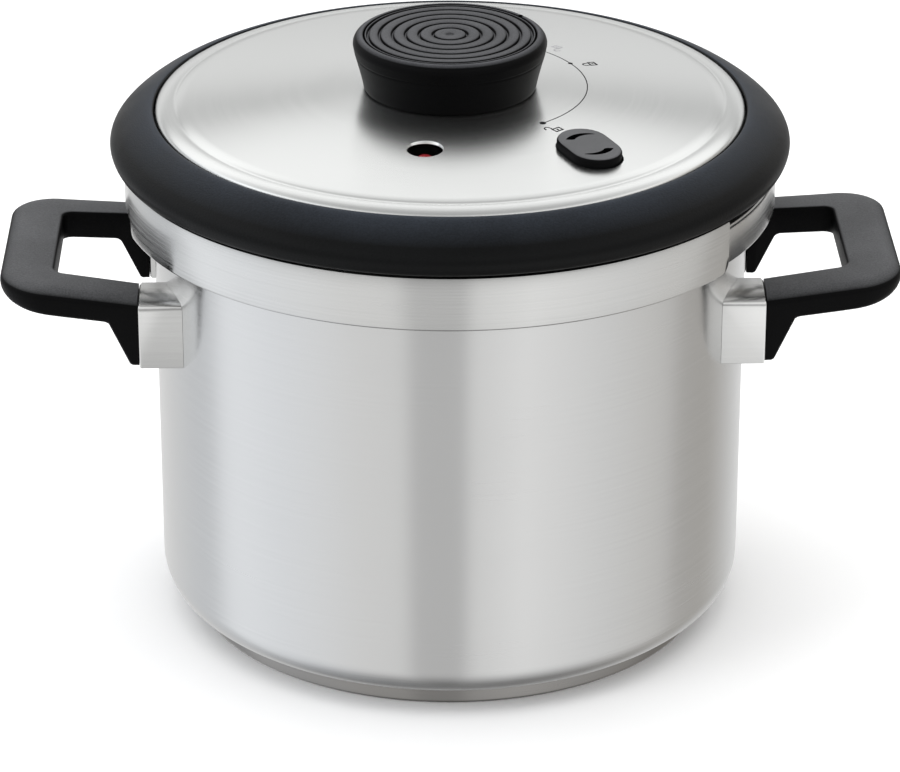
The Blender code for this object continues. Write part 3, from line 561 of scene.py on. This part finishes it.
def pot_shell():
    """The drawn shell: flat floor, round corner, straight wall, stepped collar with a rounded rim."""
    outer = [(0, FLOOR)] + arc((WALL_R - CORNER_R, FLOOR + CORNER_R), CORNER_R, -90, 0, 14)
    outer += [(WALL_R, 60.0), (WALL_R, 115.0), (WALL_R, 168.5)]
    step = [(WALL_R, 168.5), (WALL_R, 173.5), (WALL_R + 5.5, COLLAR_LOW), (COLLAR_R, COLLAR_LOW)]
    step += [(COLLAR_R, COLLAR_TOP), (COLLAR_R - WALL, COLLAR_TOP)]
    step += [(COLLAR_R - WALL, COLLAR_LOW + WALL)]
    step += [(WALL_R + 4.6, COLLAR_LOW + WALL), (WALL_R - WALL, 173.8), (WALL_R - WALL, 169.0)]
    rim = fillet(step, [0, 2.5, 2.0, 1.2, 0.45, 0.45, 0.4, 2.0, 2.5, 0], 4, closed=False)
    inner = arc((WALL_R - CORNER_R, FLOOR + CORNER_R), CORNER_R - WALL, 0, -90, 12)
    outline = outer[:-1] + rim + [(WALL_R - WALL, 110.0)] + inner
    outline += [(60.0, FLOOR + WALL), (0, FLOOR + WALL)]
    add("pot_shell", lathe(outline), "pot", wall_steel, ["pot_body"], sharp=50)


def base_cup():
    """The steel cup of the sandwich base, with a small chamfer at the foot."""
    sheet = 0.8
    cup = [(0, 0), (BASE_R, 0), (BASE_R, BASE_TOP), (BASE_R - sheet, BASE_TOP - 0.1)]
    cup += [(BASE_R - sheet, sheet), (0, sheet)]
    outline = fillet(cup, [0, 1.8, 0.55, 0.1, 1.0, 0], 5)
    add("base_cup", lathe(outline), "pot", base_steel, ["base_cap"], sharp=50)


def rack():
    """The jar rack, with round holes and a rolled rim."""
    top, low, radius, sheet = 21.0, FLOOR + WALL + GAP, 104.0, 1.2
    flat = [(0, top), (radius, top), (radius, low), (radius - sheet, low)]
    flat += [(radius - sheet, top - sheet), (0, top - sheet)]
    outline = fillet(flat, [0, 3.4, 0.4, 0.4, 2.4, 0], 5)
    places = [(0.0, 0.0)] + [polar(36.0, 90.0 * i) for i in range(4)]
    places += [polar(74.0, 45.0 * i + 22.5) for i in range(8)]
    hole = [(0, top + 1), (8.0, top + 1), (8.0, top - 3), (0, top - 3)]
    cutters = [joined(*[placed(lathe(hole, SMALL_ROUND), (*place, 0)) for place in places])]
    add("rack_plate", lathe(outline, MIDDLE_ROUND), "rack", mill_aluminium, ["jar_rack"],
        cutters=cutters)


# ---------------------------------------------------------------- handles


def side_name(side):
    return "right" if side > 0 else "left"


def corner_name(side, end):
    return f"{side_name(side)}_{'front' if end < 0 else 'back'}"


def screw_place(side, end):
    """The transform that lays a shape drawn along Z on a screw's axis, with +Z outward."""
    at = Matrix.Translation((side * JOINT_X, end * SCREW_Y, SCREW_Z))
    return at @ Matrix.Rotation(side * math.pi / 2, 4, "Y")


def crown_drop(from_edge):
    """How far the arm's top has fallen at a distance from its outer face."""
    curve = [(0.0, 4.6), (0.12, 3.7), (0.5, 3.0), (1.1, 2.45), (2.2, 1.75), (3.8, 1.1)]
    curve += [(5.6, 0.55), (7.6, 0.2), (10.0, 0.04), (11.5, 0.0)]
    return height_on(curve, from_edge)


# Distances from the outer face at which the arms' rounded tops have a row of points.
CROWN = (11.5, 9.2, 7.4, 5.6, 4.2, 3.0, 2.0, 1.1, 0.5, 0.12, 0.0)


def bracket(side, end):
    """A bracket: a block of sheet steel between the pot's wall and the joint with the grip."""
    edge = 0.45

    def section(y, inset):
        wall = math.sqrt((WALL_R + 0.05) ** 2 - y * y)
        top = ARM_TOP - crown_drop(HANDLE_HALF - y)
        low = LEG_LOW + inset
        face = JOINT_X - inset
        points = [(wall, low), (face - edge, low), (face, low + edge), (face, top - edge)]
        points += [(face - edge, top), (wall, top)]
        return [(side * x, end * y, z) for x, z in points]

    ys = [ARM_IN + (HANDLE_HALF - CROWN[0] - ARM_IN) * i / 4 for i in range(4)]
    ys += [HANDLE_HALF - c for c in CROWN[:-1]]
    rings = [section(ARM_IN, edge)] + [section(y, 0.0) for y in ys[1:]]
    rings += [section(HANDLE_HALF, edge * 0.6)]
    name = corner_name(side, end)
    add(f"{name}_block", loft(rings), "pot", bracket_steel, [f"{name}_bracket"], sharp=32)


def grip_stations(line):
    """Inner and outer points along half of the loop, from an arm's pot end to the bar's middle."""
    start = JOINT_X + GAP
    arm_end = HOLE_OUT - HOLE_CORNER
    inner_slope = (ARM_IN - HOLE_HALF) / (HOLE_OUT - start)
    outer_slope = (HANDLE_HALF - BAR_HALF) / (HANDLE_OUT - start)
    reach = arm_end - start
    alongs = sorted({round(x - start, 4) for x, _ in line if x - start < reach - 1})
    alongs += [14.0, 17.0, 20.0, 23.0, 26.0, reach]
    stations = []
    for along in alongs:
        share = (along / reach) ** 2
        x = start + along + share * (HANDLE_OUT - BAR_CORNER - arm_end)
        inner = (start + along, ARM_IN - inner_slope * along)
        stations.append((inner, (x, HANDLE_HALF - outer_slope * (x - start))))
    inner_y, outer_y = ARM_IN - inner_slope * reach, stations[-1][1][1]
    for i in range(1, 13):
        sine, rest = math.sin(math.radians(7.5 * i)), 1 - math.cos(math.radians(7.5 * i))
        inner = (arm_end + HOLE_CORNER * sine, inner_y - HOLE_CORNER * rest)
        outer = (HANDLE_OUT - BAR_CORNER * (1 - sine), outer_y - BAR_CORNER * rest)
        stations.append((inner, outer))
    return stations + [((HOLE_OUT, 0.0), (HANDLE_OUT, 0.0))]


def sole_line():
    """The loop's lower outline in X and Z: the leg's foot, its slope, and the rising underside."""
    start = JOINT_X + GAP
    under = ARM_TOP - ARM_THICK
    line = [(start, LEG_LOW), (start + 3.4, LEG_LOW), (start + 11.6, under + HANDLE_RISE * 11.6)]
    line.append((start + 60.0, under + HANDLE_RISE * 60.0))
    return fillet(line, [0, 1.9, 3.5, 0], 6, closed=False)


def grip_ring(side, end, inner, outer, line):
    """One cross-section of the loop."""
    one, two = Vector(inner), Vector(outer)
    width = (two - one).length
    across = (two - one) / width
    low = 4.2 + 3.0 * max(0.0, min(1.0, (outer[0] - HOLE_OUT) / BAR_CORNER))
    top = [(0.0, 1.3), (0.25, 0.55), (0.7, 0.12), (1.4, 0.0)]
    top += [(width - c, crown_drop(c)) for c in CROWN]
    turns = [math.pi * k / 12 for k in range(7)]
    sole = [(width - low * (1 - math.cos(t)) * 0.95, low * (1 - math.sin(t))) for t in turns]
    sole += [(2.6, 0.0), (1.2, 0.35), (0.35, 1.2), (0.0, 2.6)]
    points = []
    for reach, drop in top:
        place = one + across * reach
        crown = ARM_TOP + HANDLE_RISE * (place.x - JOINT_X - GAP)
        points.append((side * place.x, end * place.y, crown - drop))
    for reach, lift in sole:
        place = one + across * reach
        points.append((side * place.x, end * place.y, height_on(line, place.x) + lift))
    return points


def grip(side):
    """One handle loop with both legs and the stepped holes for its screws."""
    line = sole_line()
    stations = grip_stations(line)
    rings = [grip_ring(side, -1, inner, outer, line) for inner, outer in stations]
    rings += [grip_ring(side, 1, inner, outer, line) for inner, outer in reversed(stations[:-1])]
    stepped = [(0, 20.0), (3.7, 20.0), (3.7, 3.2), (2.3, 3.2), (2.3, -2.0), (0, -2.0)]
    cutters = []
    for end in (-1, 1):
        hole = lathe(stepped, SMALL_ROUND)
        bmesh.ops.transform(hole, matrix=screw_place(side, end), verts=hole.verts)
        cutters.append(hole)
    name = side_name(side)
    add(f"{name}_loop", loft(rings), "pot", handle_plastic, [f"{name}_grip"],
        cutters=cutters)


def leg_screw(side, end):
    """A pan-head screw with a cross recess, set deep in a leg."""
    shape = [(0, 5.9), (1.6, 5.8), (2.6, 5.45), (3.15, 4.9), (3.3, 4.3), (3.3, 3.6), (1.95, 3.55)]
    shape += [(1.95, -5.6), (0.4, -7.4), (0, -7.5)]
    slot = [(-1.9, -0.32), (1.9, -0.32), (1.9, 0.32), (-1.9, 0.32)]
    matrix = screw_place(side, end) @ Matrix.Rotation(0.4 * end, 4, "Z")
    shank = lathe(shape, SMALL_ROUND)
    blades = [slab(slot, 4.4, 7.0), placed(slab(slot, 4.5, 7.0), turn=90)]
    for bm in [shank] + blades:
        bmesh.ops.transform(bm, matrix=matrix, verts=bm.verts)
    name = corner_name(side, end)
    add(f"{name}_bolt", shank, "pot", bright_steel, [f"{name}_screw"], cutters=blades)


# ---------------------------------------------------------------- lid


def lid_ring():
    """The black ring: a soft shoulder, a round nose and a turned-in underside."""
    top = [(COVER_R + 0.5, 215.1), (119.6, 216.05), (122.0, 215.55), (126.0, 213.6), (130.0, 211.0)]
    top += [(133.4, 208.2), (135.7, 205.5), (RING_NOSE_R, 202.9), (136.2, 200.4), (134.9, 198.3)]
    top += [(132.6, 197.25)]
    outline = spline(top, 5) + [(127.5, 197.2), (121.5, 207.4), (97.0, 207.4), (97.0, 210.4)]
    outline += [(COVER_R + GAP, 210.4)]
    holes = [(0, 213.0), (2.4, 213.0), (2.4, 205.0), (0, 205.0)]
    places = [polar(STUD_R, a) for a in STUD_ANGLES]
    cutters = [joined(*[placed(lathe(holes, 20), (*place, 0)) for place in places])]
    add("ring_moulding", lathe(outline), "lid", ring_plastic, ["lid_ring"],
        LID_TURN, 40, cutters)


def cover():
    """The domed cover with a pressed crease near its rim, a bevelled window and the button's window."""
    inner = [(9.0, COVER_TOP), (30.0, COVER_TOP)]
    radii = [COVER_FLAT_R + (CREASE_R - 0.6 - COVER_FLAT_R) * i / 16 for i in range(17)]
    dome = [(r, cover_height(r)) for r in radii]
    rim = [(110.1, 217.75), (110.7, 217.5), (111.5, 217.48), (112.6, 217.5), (114.2, 217.28)]
    rim += [(115.8, 216.95), (117.1, 216.5), (117.9, 215.95), (118.3, 215.2)]
    rim += [(COVER_R, 214.2), (COVER_R, 210.75)]
    upper = inner + dome + rim
    under = [(COVER_R - 1.0, 210.75), (COVER_R - 1.0, 214.0), (116.9, 215.3), (115.2, 216.0)]
    under += [(111.0, 216.5)]
    under += [(r, z - 1.0) for r, z in reversed(inner + dome)]
    spot = polar(*INDICATOR_AT)
    level = cover_height(INDICATOR_AT[0])
    window = [(0, level + 3), (8.4, level + 1.6), (7.3, level + 0.02), (6.95, level - 0.5)]
    window += [(6.95, level - 4), (0, level - 4)]
    slot = slab(stadium(BUTTON_LENGTH + 1.0, BUTTON_WIDTH + 1.0), CREASE_Z - 5, COVER_TOP + 5)
    cutters = [placed(lathe(window, 72), (*spot, 0))]
    cutters.append(placed(slot, (*polar(*BUTTON_AT), 0), BUTTON_TURN))
    add("cover_dome", lathe(upper + under), "lid", cover_steel, ["lid_cover"],
        LID_TURN, 30, cutters)


def jaws():
    """Two steel bands with a flange above, a hem below and rounded lower corners."""
    inner, hem = JAW_R - 1.0, COLLAR_R + 0.45
    end_angle = math.degrees(JAW_CORNER / JAW_R)
    for word, middle in (("front", -90.0), ("back", 90.0)):
        offsets = [end_angle * (1 - math.cos(math.radians(11.25 * k))) for k in range(9)]
        start = [-JAW_HALF_ANGLE + o for o in offsets]
        straight = 2 * JAW_HALF_ANGLE - 2 * end_angle
        between = [-JAW_HALF_ANGLE + end_angle + straight * k / 72 for k in range(1, 72)]
        angles = start + between + [-a for a in reversed(start)]
        rings = []
        for angle in angles:
            short = max(0.0, JAW_CORNER - math.radians(JAW_HALF_ANGLE - abs(angle)) * JAW_R)
            low = JAW_LOW + JAW_CORNER - math.sqrt(max(0.0, JAW_CORNER**2 - short**2))
            profile = [(hem, low), (JAW_R - 0.9, low), (JAW_R - 0.4, low + 0.2), (JAW_R - 0.1, low + 0.55)]
            profile += [(JAW_R, low + 1.0), (JAW_R, 182.0), (JAW_R, 189.0)]
            profile += [(JAW_R, JAW_TOP - 1.2), (JAW_R - 0.3, JAW_TOP - 0.4)]
            profile += [(JAW_R - 1.2, JAW_TOP), (JAW_INNER_R, JAW_TOP), (JAW_INNER_R, JAW_TOP - 1.0)]
            profile += [(inner, JAW_TOP - 1.0), (inner, low + 1.4), (hem, low + 1.0)]
            rings.append([(*polar(r, middle + angle), z) for r, z in profile])
        add(f"{word}_clamp", loft(rings), f"{word}_jaw", jaw_steel, [f"{word}_jaw"],
            LID_TURN, 32)


def lid_inside():
    """The lid's dished plate and its lip seal, seen when the lid is off."""
    wall, under, high, sheet = 121.2, 182.0, 193.1, 1.2
    plate = [(0, under), (wall, under), (wall, high - sheet), (COLLAR_R - 0.4, high - sheet)]
    plate += [(COLLAR_R - 0.4, high), (wall - sheet, high)]
    plate += [(wall - sheet, under + sheet), (0, under + sheet)]
    outline = fillet(plate, [0, 3.0, 0.4, 0.4, 0.4, 1.0, 2.0, 0], 5)
    cutters = []
    for radius, spot in ((5.4, INDICATOR_AT), (6.4, BUTTON_AT), (7.4, VALVE_AT)):
        hole = [(0, under + 3), (radius, under + 3), (radius, under - 2), (0, under - 2)]
        cutters.append(placed(lathe(hole, SMALL_ROUND), (*polar(*spot), 0)))
    add("dished_plate", lathe(outline, MIDDLE_ROUND), "lid", inner_steel, ["lid_plate"],
        LID_TURN, 40, cutters)
    low, top = COLLAR_LOW + WALL + GAP, high - sheet - GAP
    outer, inner = COLLAR_R - WALL - GAP, wall + GAP
    lip = [(inner, low), (outer, low), (outer, top), (inner, top), (inner, top - 3.0)]
    lip += [(outer - 3.0, top - 3.4), (outer - 3.0, low + 2.4), (inner, low + 1.6)]
    seal = fillet(lip, [0.5, 0.9, 0.7, 0.3, 0.6, 0.8, 0.5, 0.5], 4)
    add("lip_seal", lathe(seal, MIDDLE_ROUND), "lid", seal_rubber, ["gasket"], LID_TURN)


def marks():
    """The printed position arc with its dots and padlocks, as thin ink on the cover."""
    parts = []

    def ink(points):
        """A thin patch that follows the dome, from the patch's outline in the lid's plane."""
        rings = []
        for sink in (-0.05, 0.035):
            rings.append([(x, y, cover_height(math.hypot(x, y)) + sink) for x, y in points])
        parts.append(loft(rings))

    def band(radius, width, start, end, steps, at):
        """A curved line of ink, in short pieces that follow the dome."""
        for k in range(steps):
            one = start + (end - start) * k / steps
            two = start + (end - start) * (k + 1) / steps
            corners = arc(at, radius - width / 2, one, two, 1) + arc(at, radius + width / 2, two, one, 1)
            ink(corners)

    def icon(radius, angle, opened):
        """A padlock whose shackle, shut or swung to one side, points at the knob."""
        centre = Vector(polar(radius, angle))
        up, side = -Vector(polar(1, angle)), Vector(polar(1, angle - 90))

        def at(u, v):
            return tuple(centre + side * u + up * v)

        def patch(u1, v1, u2, v2):
            ink([at(u1, v1), at(u2, v1), at(u2, v2), at(u1, v2)])

        patch(-2.0, -2.0, 2.0, -1.3)
        patch(-2.0, 0.6, 2.0, 1.2)
        patch(-2.0, -1.3, -1.4, 0.6)
        patch(1.4, -1.3, 2.0, 0.6)
        patch(-0.4, -0.9, 0.4, 0.1)
        shift = 2.7 if opened else 0.0
        for k in range(8):
            turns = [math.radians(22.5 * (k + j)) for j in (0, 1)]
            inner = [at(shift + 0.95 * math.cos(t), 2.5 + 1.0 * math.sin(t)) for t in turns]
            outer = [at(shift + 1.5 * math.cos(t), 2.5 + 1.6 * math.sin(t)) for t in reversed(turns)]
            ink(inner + outer)
        patch(shift - 1.5, 1.2, shift - 0.95, 2.5)
        patch(shift + 0.95, 1.9 if opened else 1.2, shift + 1.5, 2.5)

    turned = math.degrees(CAMERA_TURN - LID_TURN)
    middle = (-0.3, 1.2)
    open_at, shut_at, far_at = -48.6 + turned, 27.3 + turned, 56.0 + turned
    band(MARK_R, 0.42, open_at, far_at, 60, middle)
    for spot, size in ((open_at, 1.3), (shut_at, 0.95)):
        ink(arc(Vector(middle) + Vector(polar(MARK_R, spot)), size, 0, 345, 23))
    icon(61.8, -47.4 + turned, True)
    icon(63.7, 25.4 + turned, False)
    add("position_marks", joined(*parts), "lid", mark_ink, [], LID_TURN)
    parts.clear()
    icon(63.9, 46.9 + turned, True)
    add("faint_mark", joined(*parts), "lid", worn_ink, [], LID_TURN)


def button():
    """The release button: a chamfered stadium with two tapered recesses, leaned back by BUTTON_TILT.

    Its foot stays high enough to clear the ring when the button is pressed.
    """
    rings = []
    for inset, height in ((0.0, 1.8), (0.0, 10.0), (0.15, 10.5), (0.5, 10.95), (0.95, 11.13), (1.4, 11.15)):
        rings.append([(*p, height) for p in stadium(BUTTON_LENGTH - 2 * inset, BUTTON_WIDTH - 2 * inset)])
    body = loft(rings)
    cutters = []
    reach, first, sweep, steps = 9.6, 224.0, 88.0, 18
    for flip in (0.0, 180.0):
        outline = [polar(reach, first - sweep * k / steps + flip) for k in range(steps + 1)]
        for k in range(steps, -1, -1):
            share = k / steps
            thick = 0.05 + 3.3 * min(1.0, share / 0.15) ** 0.5 * (1 - share) ** 0.6
            outline.append(polar(reach - thick, first - sweep * k / steps + flip))
        cutters.append(slab(outline, 5.5, 12.5))
    matrix = Matrix.Translation((*polar(*BUTTON_AT), BUTTON_LOW))
    matrix = matrix @ Matrix.Rotation(math.radians(BUTTON_TURN), 4, "Z")
    lean = Matrix.Translation((0, 0, BUTTON_TOP - BUTTON_LOW))
    axis = Vector(polar(1, BUTTON_AT[1] - BUTTON_TURN + 90))
    lean = lean @ Matrix.Rotation(math.radians(BUTTON_TILT), 4, (axis.x, axis.y, 0))
    lean = lean @ Matrix.Translation((0, 0, -(BUTTON_TOP - BUTTON_LOW)))
    for bm in [body] + cutters:
        bmesh.ops.transform(bm, matrix=matrix @ lean, verts=bm.verts)
    add("button_cap", body, "release", button_plastic, ["release_button"],
        LID_TURN, 30, cutters)


def indicator():
    """The red indicator pin with a rounded head."""
    foot = 170.0
    pin = [(0, foot), (4.2, foot), (4.4, foot + 0.3), (4.4, foot + 1.5), (2.5, foot + 2.2)]
    pin += [(2.5, 212.8), (3.1, 213.6), (3.3, 214.2), (3.3, 217.4), (3.0, 218.4), (2.2, 219.0)]
    pin += [(1.1, 219.3), (0, 219.4)]
    shape = placed(lathe(pin, SMALL_ROUND), (*polar(*INDICATOR_AT), 0))
    add("pressure_pin", shape, "indicator", pin_red, ["indicator_pin"], LID_TURN)


# ---------------------------------------------------------------- knob


def knob():
    """The knob's flared cup with its wide shoulder and notch, and the grooved soft cap."""
    seat = KNOB_CAP_R + GAP
    flare = [(KNOB_FOOT_R, KNOB_LOW + 0.9), (35.6, KNOB_LOW + 5.0), (36.9, KNOB_LOW + 10.0)]
    flare += [(38.0, KNOB_LOW + 13.9)]
    shoulder = [(38.15, KNOB_LOW + 14.4), (38.6, 240.2), (KNOB_R, 241.7), (38.45, 243.1)]
    shoulder += [(37.6, 244.3), (36.4, 245.05), (35.4, 245.3)]
    cup = [(SHAFT_R, KNOB_LOW), (KNOB_FOOT_R - 0.9, KNOB_LOW), (KNOB_FOOT_R - 0.25, KNOB_LOW + 0.25)]
    cup += spline(flare, 4) + [(37.95, KNOB_LOW + 14.15)] + spline(shoulder, 4)
    cup += [(seat + 0.25, 245.15), (seat, 244.8), (seat, 241.0)]
    cup += [(32.6, 241.0), (31.4, 226.4), (SHAFT_R, 226.4)]
    notch = slab(stadium(5.2, 2.3, 8), KNOB_TOP - 1.5, KNOB_TOP + 2)
    cutters = [placed(notch, (*polar(KNOB_R - 2.2, NOTCH_ANGLE), 0), NOTCH_ANGLE)]
    add("knob_cup", lathe(cup, MIDDLE_ROUND), "knob", knob_plastic, ["knob_body"],
        LID_TURN, 40, cutters)

    top = KNOB_TOP - 0.25
    face = [(0, top - 0.9), (0.9, top - 0.8), (1.5, top - 0.35), (2.1, top - 0.05)]
    for radius in GROOVES:
        face += [(radius - 1.9, top + 0.02), (radius - 0.8, top - 0.03), (radius - 0.5, top - 0.3)]
        face += [(radius - 0.3, top - 1.15), (radius + 0.3, top - 1.15)]
        face += [(radius + 0.5, top - 0.3), (radius + 0.8, top - 0.03)]
    face += [(33.85, top - 0.05), (34.15, top - 0.3), (KNOB_CAP_R, top - 0.8)]
    under = KNOB_TOP - 4.0
    outline = [p for i, p in enumerate(face) if i == 0 or p[0] > face[i - 1][0]]
    outline += [(KNOB_CAP_R, under), (32.0, under), (32.0, under - 4.5), (30.4, under - 4.5)]
    outline += [(30.4, under + 1.4), (0, under + 1.4)]
    add("knob_pad", lathe(outline, MIDDLE_ROUND), "knob", cap_plastic, ["knob_cap"],
        LID_TURN, 50)


# ---------------------------------------------------------------- the object


pot_shell()
base_cup()
rack()
for side in (1, -1):
    grip(side)
    for end in (-1, 1):
        bracket(side, end)
        leg_screw(side, end)
lid_ring()
cover()
jaws()
lid_inside()
marks()
button()
indicator()
knob()


# ---------------------------------------------------------------- floor and light


def add_floor():
    """A plain pale floor. The steel doesn't mirror it, because the surround goes on below the horizon."""
    bm = bmesh.new()
    bmesh.ops.create_grid(bm, x_segments=1, y_segments=1, size=4.0)
    mesh = bpy.data.meshes.new("floor")
    bm.to_mesh(mesh)
    bm.free()
    floor = bpy.data.objects.new("floor", mesh)
    bpy.context.scene.collection.objects.link(floor)
    finish = Finish("floor_white", (0.96, 0.96, 0.96), 0.8)
    mesh.materials.append(finish.material)
    floor.visible_glossy = False


def area(name, at, aim, size, power, colour=(1.0, 1.0, 1.0)):
    """A rectangular lamp that lights the object without showing as a mirror image in it."""
    light = bpy.data.lights.new(name, "AREA")
    light.shape = "RECTANGLE"
    light.size, light.size_y = size
    light.energy = power
    light.color = colour
    lamp = bpy.data.objects.new(name, light)
    bpy.context.scene.collection.objects.link(lamp)
    lamp.location = at
    lamp.rotation_euler = (Vector(aim) - Vector(at)).to_track_quat("-Z", "Y").to_euler()
    lamp.visible_glossy = False


# The surround's level by height, as (sine of the elevation, level).
RISE = (
    (-1.0, 0.2), (-0.9, 0.4), (-0.75, 0.85), (-0.45, 1.0), (-0.2, 0.97), (-0.04, 0.8), (0.02, 0.45),
    (0.18, 0.85), (0.3, 1.05), (0.36, 0.48), (0.41, 0.48), (0.46, 1.38), (0.62, 1.42), (0.75, 0.9),
    (0.9, 0.55), (1.0, 0.5))
# Its panels round the sides, as (degrees from the front towards +X, level, coolness).
PANELS = (
    (-180, 0.95, 0), (-150, 0.85, 0), (-119, 0.80, 2), (-108, 0.84, 2), (-100, 1.12, 2), (-93, 1.15, 2),
    (-72, 1.08, 2), (-53, 1.04, 1), (-36, 0.98, 0), (-20, 0.95, 0), (-14, 0.71, 0), (3, 0.70, 0),
    (8, 0.97, 0), (28, 1.12, 0), (44, 1.03, 0), (62, 0.92, 0), (82, 0.80, -1), (92, 0.74, -1),
    (101, 0.55, -2), (120, 0.50, -3), (150, 0.80, 0), (180, 0.95, 0))


def add_world():
    """A studio surround: a dark line at the horizon, bright above, and upright panels round the sides.

    The panels fade out overhead. They go on below the horizon, where polished steel mirrors them in
    place of the floor. The upper front is a little dimmer, so that the lid's near side doesn't burn out.
    """
    world = bpy.data.worlds.new("studio")
    bpy.context.scene.world = world
    world.use_nodes = True
    nodes, links = world.node_tree.nodes, world.node_tree.links

    def remap(output, low, high):
        """0 to 1 as the output goes from low to high."""
        node = nodes.new("ShaderNodeMapRange")
        node.inputs["From Min"].default_value = low
        node.inputs["From Max"].default_value = high
        links.new(output, node.inputs["Value"])
        return node.outputs["Result"]

    place = nodes.new("ShaderNodeTexCoord")
    split = nodes.new("ShaderNodeSeparateXYZ")
    links.new(place.outputs["Generated"], split.inputs[0])
    rise = nodes.new("ShaderNodeValToRGB")
    links.new(remap(split.outputs["Z"], -1.0, 1.0), rise.inputs["Fac"])
    fill_ramp(rise.color_ramp, [((sine + 1) / 2, (level, level, level)) for sine, level in RISE])
    turn = nodes.new("ShaderNodeMath")
    turn.operation = "ARCTAN2"
    links.new(split.outputs["X"], turn.inputs[0])
    flip = nodes.new("ShaderNodeMath")
    flip.operation = "MULTIPLY"
    flip.inputs[1].default_value = -1.0
    links.new(split.outputs["Y"], flip.inputs[0])
    links.new(flip.outputs[0], turn.inputs[1])
    around = nodes.new("ShaderNodeValToRGB")
    links.new(remap(turn.outputs[0], -math.pi, math.pi), around.inputs["Fac"])
    stops = []
    for degrees, level, cool in PANELS:
        colour = (level * (1 - 0.012 * cool), level, level * (1 + 0.018 * cool))
        stops.append(((degrees + 180) / 360, colour))
    fill_ramp(around.color_ramp, stops)
    blend = nodes.new("ShaderNodeMix")
    blend.data_type = "RGBA"
    links.new(remap(split.outputs["Z"], 0.45, 0.85), blend.inputs["Factor"])
    links.new(around.outputs["Color"], blend.inputs["A"])
    blend.inputs["B"].default_value = (1, 1, 1, 1)
    product = nodes.new("ShaderNodeMix")
    product.data_type = "RGBA"
    product.blend_type = "MULTIPLY"
    product.inputs["Factor"].default_value = 1.0
    product.clamp_result = False
    links.new(rise.outputs["Color"], product.inputs["A"])
    links.new(blend.outputs["Result"], product.inputs["B"])
    near = nodes.new("ShaderNodeMath")
    near.operation = "MULTIPLY"
    links.new(remap(split.outputs["Z"], -0.03, 0.06), near.inputs[0])
    links.new(remap(split.outputs["Y"], 0.0, -0.75), near.inputs[1])
    strength = nodes.new("ShaderNodeMapRange")
    strength.inputs["To Min"].default_value = 1.0
    strength.inputs["To Max"].default_value = 0.7
    links.new(near.outputs[0], strength.inputs["Value"])
    background = nodes["Background"]
    links.new(product.outputs["Result"], background.inputs["Color"])
    links.new(strength.outputs["Result"], background.inputs["Strength"])


def fill_ramp(ramp, stops):
    """Gives a colour ramp these (position, colour) stops and no others."""
    while len(ramp.elements) > 1:
        ramp.elements.remove(ramp.elements[-1])
    ramp.elements[0].position = stops[0][0]
    ramp.elements[0].color = (*stops[0][1], 1)
    for where, colour in stops[1:]:
        ramp.elements.new(where).color = (*colour, 1)


add_floor()
add_world()
area("top_softbox", (0.0, 0.2, 1.9), (0, 0, 0.1), (3.0, 2.6), 42.0)
area("front_fill", (0.3, -1.9, 0.8), (0, 0, 0), (2.0, 1.0), 3.5)
area("left_softbox", (-1.5, -0.9, 0.9), (0, 0, 0.12), (0.7, 1.2), 7.0, (0.97, 0.985, 1.0))
bpy.context.scene.view_settings.view_transform = "Standard"
